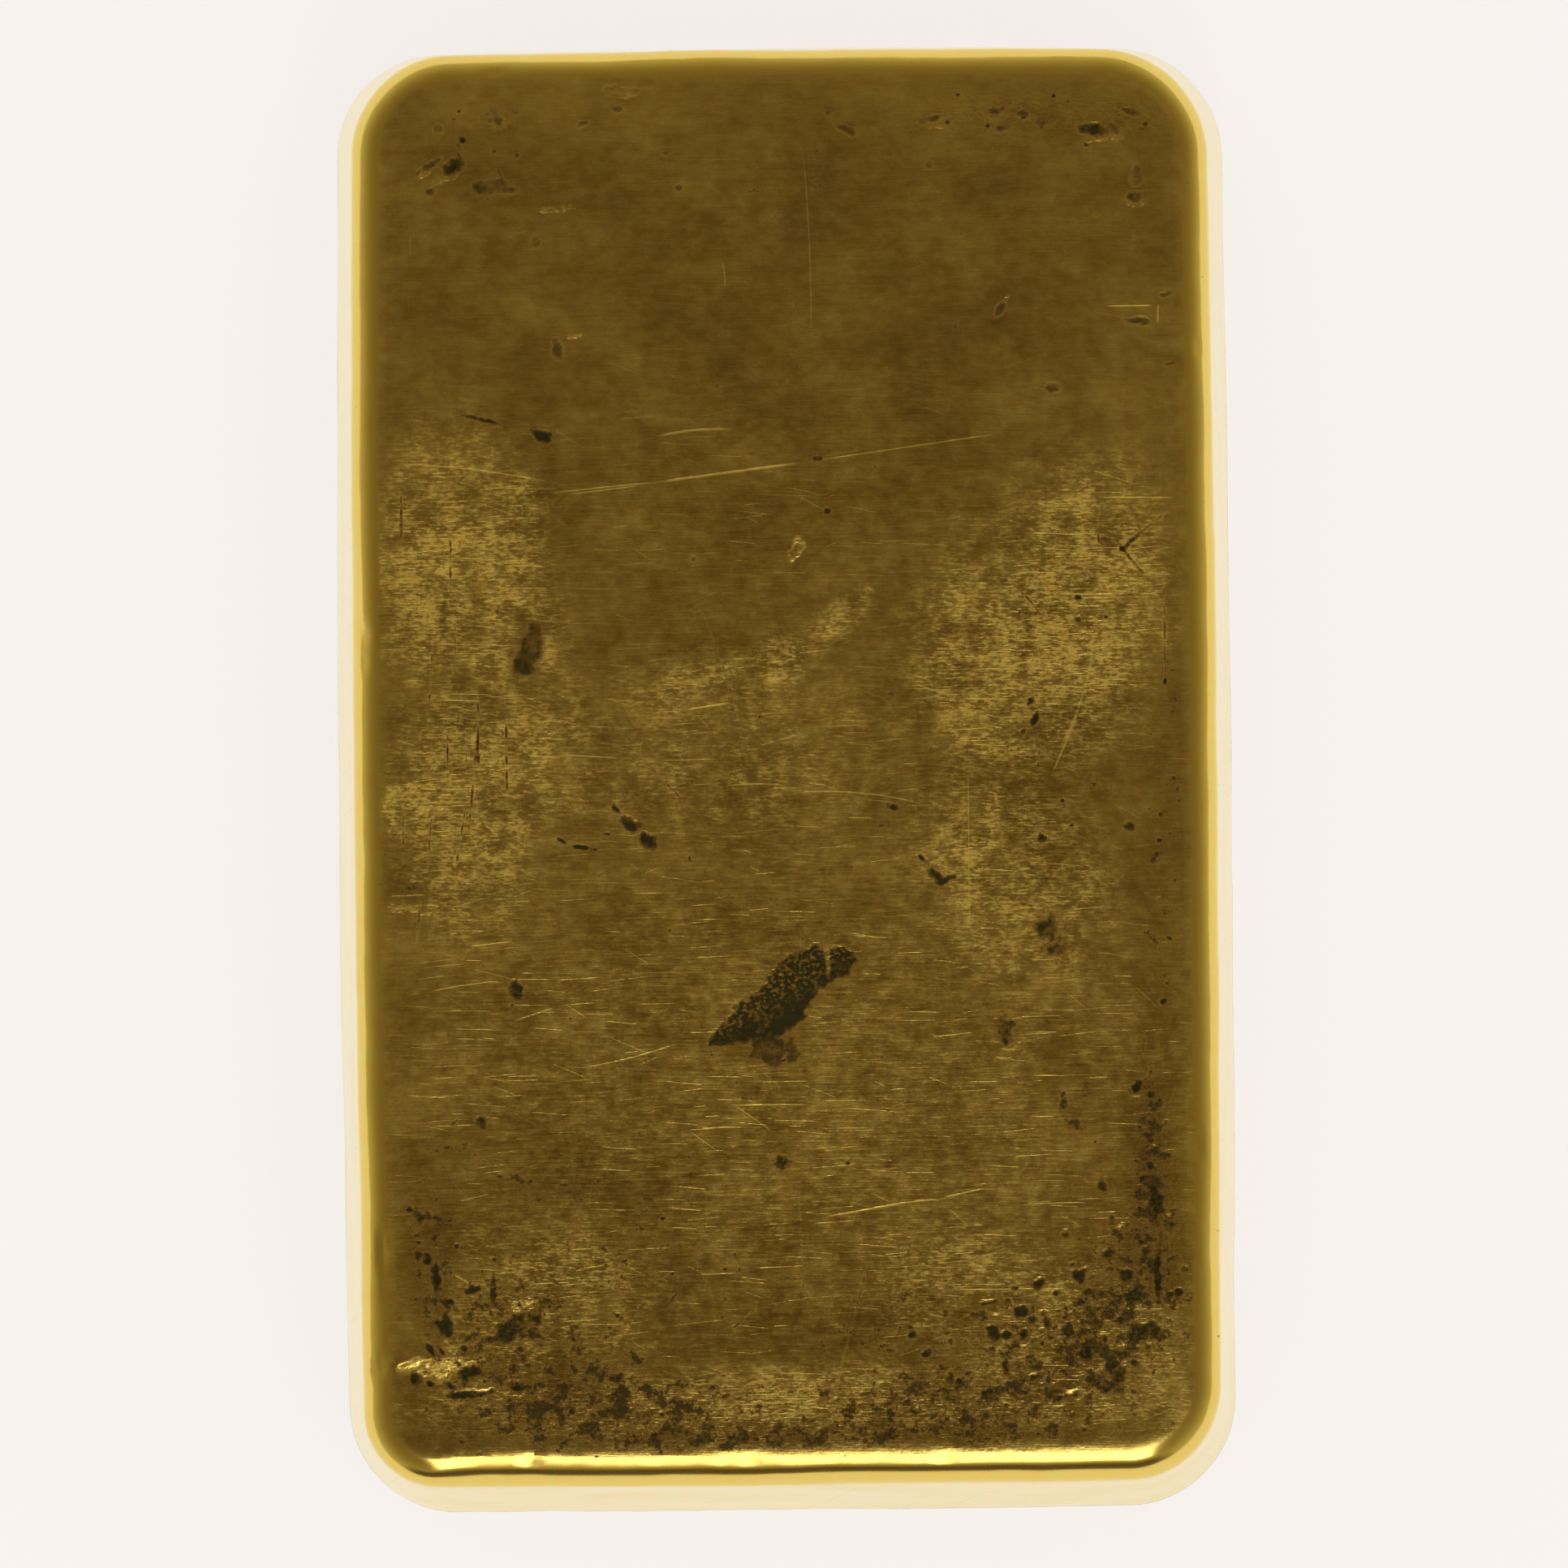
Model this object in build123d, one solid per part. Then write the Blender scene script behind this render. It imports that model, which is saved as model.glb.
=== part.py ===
"""A cast ingot of fine gold, 250 g, in millimetres, +Z up, with its length along Y.

It lies as it was turned out of its mould. The pour face, which froze in the open air, is down
and slightly sunk in the middle, so that the ingot rests on the flat rim round it. The mould face
is up, flat and a little smaller. The walls lean in by the mould's draft. The mould was dressed by
hand, so each side has a bow of its own and each corner a radius of its own. The origin is at the
middle of the footprint.
"""

import os
from math import cos, radians, sin, tan

from build123d import *

# Overall size, over the widest part of the walls
length = 50.0
width = 30.5
height = 9.0

# Mould
draft = 4.5  # degrees by which each wall leans in from the vertical
bow = {"south": 0.08, "east": 0.15, "north": 0.20, "west": 0.22}  # how far each side's arc rises
pour_corner = {"southwest": 3.70, "southeast": 3.70, "northeast": 3.65, "northwest": 3.30}
mould_corner = {"southwest": 2.40, "southeast": 3.10, "northeast": 3.60, "northwest": 3.30}

# Edges
mould_edge = 1.00  # radius where the walls meet the floor of the mould
pour_lip = 0.80  # radius that surface tension gives the edge of the pour face

# Sunk middle of the pour face, an oval cut from an ellipsoid
sink_depth = 0.25
sink_margin = 2.60  # flat rim left between the oval and each side
sink_reach = 10.0  # degrees of the ellipsoid from the middle of the oval to its rim

# Where the sharp edges would be, before they are rounded
lip_loss = pour_lip * (tan(radians(draft)) + 1 / cos(radians(draft)) - 1)
lean = height * tan(radians(draft))


def outline(half_width, half_length, corners):
    """A plan section: four bowed sides, anticlockwise from the south, and their round corners."""
    west = bow["west"] - half_width
    east = half_width - bow["east"]
    south = bow["south"] - half_length
    north = half_length - bow["north"]
    southwest, southeast = (west, south), (east, south)
    northeast, northwest = (east, north), (west, north)
    section = make_face(
        [
            SagittaArc(southwest, southeast, -bow["south"]),
            SagittaArc(southeast, northeast, -bow["east"]),
            SagittaArc(northeast, northwest, -bow["north"]),
            SagittaArc(northwest, southwest, -bow["west"]),
        ]
    )
    points = {
        "southwest": southwest,
        "southeast": southeast,
        "northeast": northeast,
        "northwest": northwest,
    }
    for name, radius in corners.items():
        corner = section.vertices().sort_by_distance((*points[name], 0))[0]
        section = fillet(corner, radius)
    return section


def drafted_block():
    """What the mould holds, from the pour face up to the mould face, with its edges sharp."""
    half_width = width / 2 + lip_loss
    half_length = length / 2 + lip_loss
    pour = outline(half_width, half_length, pour_corner)
    mould = outline(half_width - lean, half_length - lean, mould_corner)
    return loft([pour, Pos(0, 0, height) * mould], ruled=True)


def sunk_middle():
    """What the pour face lost as the gold shrank: the top of an ellipsoid, up into the base."""
    reach = radians(sink_reach)
    half_x = (width / 2 - sink_margin) / sin(reach)
    half_y = (length / 2 - sink_margin) / sin(reach)
    half_z = sink_depth / (1 - cos(reach))
    ellipsoid = scale(Sphere(1), by=(half_x, half_y, half_z))
    return Pos(0, 0, sink_depth - half_z) * ellipsoid


def cast_ingot():
    """The whole casting, one solid."""
    block = drafted_block()
    block = fillet(block.faces().sort_by(Axis.Z)[-1].outer_wire().edges(), mould_edge)
    block = fillet(block.faces().sort_by(Axis.Z)[0].outer_wire().edges(), pour_lip)
    return block - sunk_middle()


ingot = cast_ingot()
ingot.label = "ingot"

os.makedirs("parts", exist_ok=True)
export_step(ingot, "parts/ingot.step")
print("size", ingot.bounding_box().size, "mm, volume", round(ingot.volume, 1), "mm3")
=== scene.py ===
"""A cast ingot of fine gold on a white table, seen from above. Blender 4.5, metres, +Z up.

The ingot lies as it was turned out of its mould, with the mould face up. Its sides, edges and
corners follow the CAD model's own driving dimensions, and what casting and handling left on it is
added to that shape: pits, stains, a slag scab, scratches and the ripples of the pour face.
"""

import random
from functools import partial
from math import atan2, ceil, cos, exp, hypot, pi, radians, sin, sqrt, tan

import bmesh
import bpy
from mathutils import Matrix, Vector, noise


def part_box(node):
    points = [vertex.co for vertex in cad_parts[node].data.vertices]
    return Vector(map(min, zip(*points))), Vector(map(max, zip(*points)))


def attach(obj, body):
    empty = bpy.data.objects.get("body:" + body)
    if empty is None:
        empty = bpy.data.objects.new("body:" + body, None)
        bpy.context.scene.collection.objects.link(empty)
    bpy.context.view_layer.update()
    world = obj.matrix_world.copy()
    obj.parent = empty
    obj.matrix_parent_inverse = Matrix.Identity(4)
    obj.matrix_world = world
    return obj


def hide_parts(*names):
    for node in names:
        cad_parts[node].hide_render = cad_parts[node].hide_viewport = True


bl_info = {
    "name": "Cast gold ingot",
    "version": (1, 0, 0),
    "blender": (4, 5, 0),
    "location": "View3D > Sidebar > Ingot",
    "description": "Builds a cast gold ingot with its pits, scratches and stains on a white table",
    "category": "Add Mesh",
}

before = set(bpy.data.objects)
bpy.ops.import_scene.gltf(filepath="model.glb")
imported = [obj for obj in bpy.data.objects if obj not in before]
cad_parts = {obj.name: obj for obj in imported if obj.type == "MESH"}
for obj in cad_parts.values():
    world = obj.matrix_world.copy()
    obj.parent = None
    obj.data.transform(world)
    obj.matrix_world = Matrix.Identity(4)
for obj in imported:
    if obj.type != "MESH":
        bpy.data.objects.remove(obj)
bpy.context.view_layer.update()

mm = 0.001  # lengths below are in millimetres, as in the CAD model, and this turns them to metres

# Overall size, from the frame
low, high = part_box("ingot")
width = (high[0] - low[0]) / mm
length = (high[1] - low[1]) / mm
height = (high[2] - low[2]) / mm

# Mould, with corners in the order southeast, northeast, northwest, southwest
draft = radians(4.5)
pour_corners = (3.70, 3.65, 3.30, 3.70)
mould_corners = (3.10, 3.60, 3.30, 2.40)
corner_signs = ((1, -1), (1, 1), (-1, 1), (-1, -1))
bow_south, bow_east, bow_north, bow_west = 0.08, 0.15, 0.20, 0.22
mould_edge = 1.00
pour_lip = 0.80

# Pour face
sink_depth = 0.25
sink_margin = 2.60
sink_reach = radians(10.0)

# Relief of the mould face, too fine for the mesh, and how much of the scratches' depth the light shows
mottle_relief = 0.014
wiping_relief = 0.005
crust_relief = 0.016
worn_scratch = 0.0090
fine_scratch = 0.0060
scratch_share = 0.42

# Soot, which in the pits is partly painted shade and in the films over the upper part of the face painted
# shade: the stain at which it starts and is full, and its strength in the films' blotches
soot_and_shade_start = 0.30
soot_and_shade_full = 0.85
blotch_soot_and_shade = 0.82

# Room left over the mould face for burrs, and inside the walls for their waves
skin = 0.03

# Where the sharp edges would be, before they are rounded
lip_loss = pour_lip * (tan(draft) + 1 / cos(draft) - 1)
pour_half = (width / 2 + lip_loss, length / 2 + lip_loss)
edge_inset = mould_edge * tan((pi / 2 - draft) / 2)
lip_inset = pour_lip / tan((pi / 2 - draft) / 2)

# Rows of faces down the sides
edge_rows = 10
wall_rows = 13
lip_rows = 6
rim_rows = 3
rim_width = 1.4

# How far the south end of the face rolls off, over this width
roll_drop = 0.26
roll_width = 1.50
roll_start = 13.2  # how far west of the middle it starts

# How far the face is crowned towards its other edges, over this width
crown_drop = 0.13
crown_width = 4.2

scratch_channels = 3  # sets of long scratches that keep clear of each other
under_mark = 100  # stands for the way down the surface inside the pour rim, more than any real one
last_along = 0.999999  # the end of a side or corner, just before the next one starts
nick_band = 2.2  # how far down the sides nicks reach

# Shares of the pits' depths and burrs, and of the bubbles' rims, that are in the mesh
pit_share = 0.30
burr_share = 0.45
rim_share = 0.5


def sizes_at(level, inset):
    """Half width, half length and corner radii of a plan section, at a level over the table."""
    lean = level * tan(draft)
    share = level / height
    radii = [
        pour + (mould - pour) * share - inset for pour, mould in zip(pour_corners, mould_corners)
    ]
    return pour_half[0] - lean - inset, pour_half[1] - lean - inset, radii


def plan_point(around, sizes):
    """A point of a rounded rectangle, and its outward direction.

    `around` goes from 0 to 8, anticlockwise from the start of the south side. Each side takes one
    unit, and so does the corner after it.
    """
    half_x, half_y, radii = sizes
    part = int(around) % 8
    along = around - int(around)
    corner = part // 2

    def arc_point(index, turn):
        radius = radii[index]
        sign_x, sign_y = corner_signs[index]
        middle = Vector((sign_x * (half_x - radius), sign_y * (half_y - radius)))
        return middle + radius * Vector((cos(turn), sin(turn)))

    start_turn = pi / 2 * (corner - 1)
    if part % 2:
        turn = start_turn + pi / 2 * along
        return arc_point(corner, turn), Vector((cos(turn), sin(turn)))
    begin = arc_point((corner - 1) % 4, start_turn)
    end = arc_point(corner, start_turn)
    return begin.lerp(end, along), Vector((cos(start_turn), sin(start_turn)))


def round_corners(x, y, sizes):
    """Moves a point of a rectangle's grid so that the rectangle's corners become arcs.

    Returns the new place and, for a point of the border, how far `around` it is.
    """
    half_x, half_y, radii = sizes
    tiny = 1e-5
    on_border = abs(x) > half_x - tiny or abs(y) > half_y - tiny
    for corner, (sign_x, sign_y) in enumerate(corner_signs):
        radius = radii[corner]
        middle_x = sign_x * (half_x - radius)
        middle_y = sign_y * (half_y - radius)
        a = (x - middle_x) * sign_x
        b = (y - middle_y) * sign_y
        if a > 0 and b > 0:
            round_a = a * sqrt(1 - b * b / (2 * radius * radius))
            round_b = b * sqrt(1 - a * a / (2 * radius * radius))
            new_x = middle_x + sign_x * round_a
            new_y = middle_y + sign_y * round_b
            turn = atan2(new_y - middle_y, new_x - middle_x) - pi / 2 * (corner - 1)
            along = (turn % (2 * pi)) / (pi / 2)
            return new_x, new_y, 2 * corner + 1 + min(along, last_along) if on_border else -1
    if not on_border:
        return x, y, -1
    if y < tiny - half_y:
        side = 0
    elif x > half_x - tiny:
        side = 1
    elif y > half_y - tiny:
        side = 2
    else:
        side = 3
    begin, _ = plan_point(2 * side, sizes)
    end, _ = plan_point(2 * side + last_along, sizes)
    run = end - begin
    along = (Vector((x, y)) - begin).dot(run) / run.length_squared
    return x, y, 2 * side + min(max(along, 0), last_along)


def edge_gap(x, y, sizes):
    """How far inside a plan section's outline a point is, and how much the outline faces south."""
    half_x, half_y, radii = sizes
    corner = (0 if y < 0 else 1) if x > 0 else (3 if y < 0 else 2)
    radius = radii[corner]
    a = abs(x) - half_x + radius
    b = abs(y) - half_y + radius
    if a > 0 and b > 0:
        return radius - hypot(a, b), b / hypot(a, b) if y < 0 else 0
    return radius - max(a, b), 1 if y < 0 and b > a else 0


def side_rows():
    """Level, inset and distance down the surface of each ring, from the mould face to the pour rim."""
    rows = []
    face_level = height - skin
    for i in range(1, edge_rows + 1):
        turn = (pi / 2 - draft) * i / edge_rows
        level = face_level - mould_edge * (1 - cos(turn))
        inset = edge_inset - mould_edge * sin(turn) + (face_level - level) * tan(draft)
        rows.append((level, inset, mould_edge * turn))
    down = rows[-1][2]
    wall_top = rows[-1][0]
    wall_foot = pour_lip * (1 + sin(draft))
    for i in range(1, wall_rows + 1):
        level = wall_top + (wall_foot - wall_top) * i / wall_rows
        rows.append((level, 0, down + (wall_top - level) / cos(draft)))
    down = rows[-1][2]
    for i in range(1, lip_rows + 1):
        turn = draft - (pi / 2 + draft) * i / lip_rows
        level = pour_lip * (1 + sin(turn))
        inset = lip_inset - pour_lip * cos(turn) - level * tan(draft)
        rows.append((level, inset, down + pour_lip * (draft - turn)))
    down = rows[-1][2]
    for i in range(1, rim_rows + 1):
        step = rim_width * i / rim_rows
        rows.append((0, lip_inset + step, down + step))
    return rows


def add_grid(bm, sizes, level, cells_x, cells_y, around_layer):
    """A grid of squares with the outline of a rounded rectangle; returns its new vertices."""
    half_x, half_y, _ = sizes
    place = Matrix.Translation((0, 0, level)) @ Matrix.Diagonal((half_x, half_y, 1, 1))
    made = bmesh.ops.create_grid(bm, x_segments=cells_x, y_segments=cells_y, size=1, matrix=place)
    for vertex in made["verts"]:
        x, y, around = round_corners(vertex.co.x, vertex.co.y, sizes)
        vertex.co.x = x
        vertex.co.y = y
        vertex[around_layer] = around
    return made["verts"]


def add_sides(bm, around_layer, down_layer):
    """Extrudes the border of the mould face down the sides and in under the pour rim."""
    border = [edge for edge in bm.edges if edge.is_boundary]
    for level, inset, down in side_rows():
        made = bmesh.ops.extrude_edge_only(bm, edges=border)["geom"]
        border = [item for item in made if isinstance(item, bmesh.types.BMEdge) and item.is_boundary]
        ring = {vertex for edge in border for vertex in edge.verts}
        sizes = sizes_at(level, inset)
        for vertex in ring:
            point, _ = plan_point(vertex[around_layer], sizes)
            vertex.co = (point.x, point.y, level)
            vertex[down_layer] = down
    return border


# Marks of casting and wear on the mould face: x, y, length, breadth, turn of the length from +X in
# degrees, depth, stain from 0 to 1 (soot, and painted shade of the hollow), and height of the burr on the
# south side
PITS = (
    # northwest corner
    (-11.2, 20.55, 0.75, 0.62, 20, 0.1, 0.78, 0.01),
    (-11.95, 20.6, 0.9, 0.35, 30, 0.05, 0.6, 0.01),
    (-12.4, 20.3, 0.5, 0.25, 70, 0.04, 0.55, 0.01),
    (-12, 19.7, 0.45, 0.3, 20, 0.04, 0.55, 0),
    (-11.7, 21.85, 0.45, 0.35, 10, 0.04, 0.55, 0),
    (-9.8, 19.8, 1.7, 0.6, 0, 0.02, 0.52, 0),
    (-9.3, 19.7, 0.6, 0.4, 0, 0.04, 0.57, 0),
    (-9.7, 22.15, 0.5, 0.65, 20, 0.06, 0.6, 0.01),
    (-9.05, 22.3, 0.45, 0.35, 10, 0.04, 0.55, 0),
    (-9, 20.85, 0.25, 0.2, 0, 0.04, 0.57, 0),
    (-8.4, 18, 0.6, 0.9, 10, 0.01, 0.49, 0),
    (-6.75, 21.9, 0.45, 0.28, 20, 0.05, 0.55, 0.01),
    (-5.6, 22.4, 0.45, 0.24, 0, 0.05, 0.55, 0),
    (-3.9, 20.85, 0.5, 0.22, 0, 0.05, 0.55, 0),
    (-3.45, 19.65, 0.3, 0.25, 0, 0.04, 0.52, 0),
    (-7.6, 14.25, 0.38, 0.75, 12, 0.06, 0.61, 0),
    # northeast corner
    (5.3, 21.95, 1, 0.5, 20, 0.06, 0.63, 0.01),
    (7.35, 22.2, 1.2, 0.45, 5, 0.07, 0.65, 0.01),
    (7.6, 21.6, 0.8, 0.35, 10, 0.03, 0.52, 0.01),
    (8.35, 22.1, 0.6, 0.3, 0, 0.06, 0.6, 0.01),
    (9.1, 21.8, 0.8, 0.4, 0, 0.04, 0.55, 0.01),
    (10.7, 21.6, 1.2, 0.5, 175, 0.08, 0.68, 0.012),
    (11.5, 21.6, 0.55, 0.5, 0, 0.05, 0.55, 0.01),
    (11.9, 22.25, 0.65, 0.35, 160, 0.05, 0.57, 0.01),
    (12.2, 20.1, 0.45, 0.8, 0, 0.02, 0.39, 0.01),
    (12.2, 19.3, 0.8, 0.4, 10, 0.05, 0.57, 0.012),
    (12.1, 17.6, 0.6, 1.2, 0, 0.01, 0.37, 0),
    (10.8, 18.65, 0.25, 0.2, 0, 0.04, 0.47, 0.04),
    (5.1, 20.4, 0.45, 0.4, 0, 0.02, 0.5, 0),
    (7.5, 15.5, 0.75, 0.28, 60, 0.05, 0.54, 0.012),
    (12.15, 15.05, 1, 0.28, 178, 0.06, 0.63, 0.01),
    (13.1, 15.95, 0.45, 0.25, 20, 0.04, 0.55, 0.01),
    (13.25, 13.6, 0.6, 0.18, 20, 0.04, 0.55, 0.01),
    (9.27, 12.8, 0.75, 0.32, 175, 0.05, 0.57, 0.01),
    (2.3, 21.6, 0.75, 0.35, 150, 0.05, 0.57, 0.01),
    (1.7, 22.2, 0.4, 0.3, 0, 0.04, 0.52, 0),
    # upper middle
    (-8.1, 11.25, 0.75, 0.45, 150, 0.05, 0.9, 0),
    (-10.1, 11.85, 1.7, 0.2, 165, 0.04, 0.8, 0),
    (-12.4, 12.3, 0.4, 0.25, 0, 0.03, 0.5, 0),
    (-10.9, 9.9, 0.5, 0.2, 30, 0.03, 0.6, 0),
    (1.2, 10.4, 0.35, 0.25, 0, 0.04, 0.7, 0),
    (1.5, 8.6, 0.25, 0.25, 0, 0.05, 0.8, 0),
    (-3.05, 7, 0.25, 0.25, 0, 0.06, 0.5, 0.04),
    (0.4, 7.3, 0.5, 0.25, 60, 0.06, 0.6, 0.05),
    (-3, 5.3, 0.25, 0.2, 0, 0.05, 0.5, 0.04),
    (10, 5.6, 0.24, 0.24, 0, 0.06, 0.9, 0),
    (10, 4.85, 0.24, 0.2, 0, 0.05, 0.9, 0),
    (12.3, 9.6, 0.7, 0.5, 90, 0.01, 0.35, 0),
    # beside the oval stain
    (-9.7, 5.3, 0.2, 0.2, 0, 0.03, 0.6, 0),
    (8.35, 2.1, 0.35, 0.25, 60, 0.04, 0.7, 0),
    (8.5, 1.5, 0.55, 0.2, 70, 0.04, 0.8, 0),
    (8.05, 1.05, 0.35, 0.2, 40, 0.03, 0.7, 0),
    (3.6, 2.4, 0.3, 0.2, 20, 0.03, 0.6, 0),
    (3.7, -1.5, 0.6, 0.3, 150, 0.04, 0.7, 0),
    (3.3, -2.1, 0.3, 0.2, 0, 0.03, 0.6, 0),
    (4.4, 0.2, 0.25, 0.4, 20, 0.03, 0.5, 0),
    (11.6, -2.2, 0.45, 0.42, 0, 0.05, 0.7, 0),
    (8.7, -2.6, 0.3, 0.25, 0, 0.03, 0.6, 0),
    (10.3, -0.5, 0.6, 0.3, 60, 0.02, 0.45, 0),
    # middle
    (-5.2, -1.95, 0.7, 0.5, 150, 0.08, 0.75, 0.02),
    (-4.8, -2.45, 1.05, 0.5, 145, 0.08, 0.8, 0),
    (-5.75, -1.45, 0.45, 0.18, 130, 0.04, 0.7, 0),
    (-7.6, -2.5, 0.4, 0.12, 150, 0.05, 0.9, 0),
    (-6.85, -2.75, 1, 0.14, 172, 0.05, 1, 0),
    (-6.1, -2.3, 0.3, 0.12, 0, 0.04, 0.8, 0),
    (-3.3, -3.1, 0.55, 0.12, 110, 0.05, 0.9, 0),
    (5, -3.7, 0.9, 0.4, 120, 0.05, 0.7, 0),
    (5.35, -4, 0.8, 0.3, 20, 0.05, 0.75, 0),
    (4.7, -3.3, 0.6, 0.16, 140, 0.03, 0.7, 0),
    (8.95, -5.85, 1.5, 1.3, 100, 0.01, 0.6, 0),
    (9.6, -5.5, 0.5, 0.4, 30, 0.01, 0.35, 0),
    (7.4, -9, 0.55, 1.15, 10, 0.05, 0.8, 0),
    (7.45, -9.5, 0.35, 0.35, 0, 0.06, 0.6, 0.03),
    (-9.2, -7.6, 0.4, 0.65, 10, 0.06, 0.7, 0),
    (-9.35, -8.1, 0.3, 0.25, 0, 0.04, 0.7, 0),
    (-7.5, -7.4, 0.6, 0.35, 0, 0.02, 0.5, 0),
    (-0.2, -13.6, 0.7, 0.5, 10, 0.04, 0.55, 0),
    (-10.5, -12.1, 0.6, 0.5, 150, 0.04, 0.8, 0),
    (-9.9, -13.9, 0.4, 0.25, 150, 0.03, 0.6, 0),
    (-7.5, -14.5, 1.6, 0.4, 10, 0.01, 0.45, 0),
    (9.3, -11.6, 0.75, 0.4, 100, 0.03, 0.7, 0),
    (9.7, -12.3, 0.9, 0.4, 140, 0.03, 0.75, 0),
    (10.2, -11.3, 0.8, 0.2, 20, 0.02, 0.5, 0),
    # southwest corner
    (-12.1, -17.4, 0.35, 1.5, 5, 0.12, 1, 0),
    (-11.9, -18.95, 0.9, 0.55, 150, 0.06, 0.9, 0),
    (-12.36, -19.75, 0.6, 0.2, -58, 0.05, 0.9, 0.01),
    (-11.97, -19.8, 0.6, 0.2, -58, 0.05, 0.9, 0.01),
    (-11.15, -19.75, 0.45, 0.25, -50, 0.05, 0.8, 0),
    (-12.85, -20.75, 0.5, 0.4, -40, 0.06, 0.8, 0),
    (-11.1, -21.3, 1.7, 0.22, 5, 0.05, 0.8, 0.01),
    (-11.7, -21, 0.5, 0.2, -30, 0.04, 0.7, 0),
    (-12.35, -16.7, 0.3, 0.5, 0, 0.08, 0.9, 0),
    (-11.8, -18.8, 0.3, 0.6, 20, 0.08, 0.9, 0),
    (-10.85, -17.75, 0.6, 0.3, 10, 0.1, 0.9, 0.03),
    (-10.15, -17.8, 0.25, 0.95, 0, 0.06, 0.8, 0),
    (-12.5, -15.3, 0.85, 0.55, 160, 0.05, 0.7, 0.02),
    (-9.5, -19, 1.9, 0.8, 25, 0.03, 0.75, 0),
    (-8.9, -18.7, 0.9, 0.5, 170, 0.03, 0.8, 0),
    (-9.4, -21, 0.55, 0.45, 0, 0.08, 0.9, 0.03),
    (-5.95, -20.75, 0.7, 0.6, 0, 0.02, 0.7, 0),
    (-10.65, -21.3, 0.8, 0.14, 20, 0.05, 0.8, 0),
    (-10.9, -20.52, 0.8, 0.6, 0, 0.08, 0.95, 0.01),
    # southeast corner
    (12.4, -14.9, 0.8, 1.3, 0, 0.04, 0.85, 0),
    (10.95, -15.55, 0.4, 0.4, 0, 0.06, 0.8, 0.02),
    (10.75, -16.75, 0.6, 0.4, 30, 0.06, 0.8, 0.02),
    (11.35, -17.4, 0.7, 0.5, 150, 0.06, 0.9, 0.02),
    (11.7, -18.2, 0.8, 0.45, 0, 0.06, 0.9, 0.03),
    (12.5, -17.4, 0.3, 2.2, 0, 0.06, 0.9, 0),
    (12.1, -16.8, 0.5, 0.8, 0, 0.05, 0.8, 0.02),
    (12, -19.4, 1.2, 1.4, 20, 0.05, 0.66, 0),
    (11, -20.9, 1.5, 1.4, 50, 0.06, 0.64, 0),
    (11.6, -20.2, 0.9, 1.1, 0, 0.05, 0.62, 0),
    (8.45, -17.7, 0.55, 0.4, 20, 0.06, 0.9, 0.02),
    (9.85, -17.5, 0.45, 0.5, 0, 0.06, 0.9, 0),
    (7.8, -18.65, 0.45, 0.45, 0, 0.06, 0.9, 0.02),
    (9.45, -19.35, 0.5, 0.5, 0, 0.06, 0.9, 0.02),
    (8.75, -19, 0.35, 0.35, 0, 0.05, 0.8, 0.02),
    (9.85, -18.4, 0.4, 0.35, 0, 0.05, 0.8, 0.02),
    (10.1, -20.1, 0.6, 0.6, 0, 0.06, 0.9, 0),
    (6.8, -18.35, 0.7, 0.18, 5, 0.06, 0.7, 0.03),
    (4.7, -20, 0.4, 0.4, 0, 0.04, 0.8, 0),
    (4.2, -19.4, 0.35, 0.35, 0, 0.04, 0.7, 0),
)

# Open bubbles with a raised rim all round: x, y, length, breadth, turn, height of the rim
RINGS = (
    (6.93, -19.45, 0.55, 0.85, 10, 0.03),
    (7.97, -19.4, 0.45, 0.6, 160, 0.03),
    (9.98, -19, 0.4, 0.4, 0, 0.03),
    (10.65, -14.4, 0.45, 0.55, 20, 0.02),
    (8.3, -20.9, 0.45, 0.35, 20, 0.03),
    (8.75, -21, 0.55, 0.3, 140, 0.03),
    (9.1, -21.6, 0.45, 0.35, 10, 0.03),
    (9.7, -21.5, 0.4, 0.35, 0, 0.03),
    (9.6, -22.2, 0.4, 0.3, 20, 0.03),
    (5.4, -20.9, 0.4, 0.6, 0, 0.02),
    (7.3, -20.6, 0.35, 0.7, 10, 0.02),
)

# Dents in the rounded edges, in the same form without stain and burr
NICKS = (
    (-13.75, -16.9, 1.9, 0.45, 98, 0.07),
    (-14.1, -20.4, 0.6, 0.5, 0, 0.08),
    (-14.3, 4.7, 0.4, 1, 0, 0.05),
    (-14.25, 3.6, 0.35, 0.6, 0, 0.04),
    (14.2, 14.2, 0.3, 0.5, 0, 0.03),
    (13.95, -13.2, 0.4, 1, 0, 0.05),
    (-8.95, -23.45, 0.75, 0.45, 0, 0.04),
    (-1.6, -23.5, 1.2, 0.4, 0, 0.03),
    (5.2, -23.45, 0.9, 0.4, 0, 0.03),
    (-9.88, 23.7, 0.7, 0.35, 0, 0.04),
)

# Smooth stains that cover the wear under them: x, y, length, breadth, turn, strength
DROPS = (
    (-8.72, 4, 1.62, 0.98, 80, 0.68),
    (-8.88, 3.6, 0.7, 0.62, 30, 0.74),
    (-0.45, -9.8, 1.9, 1, 5, 0.67),
)

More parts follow.
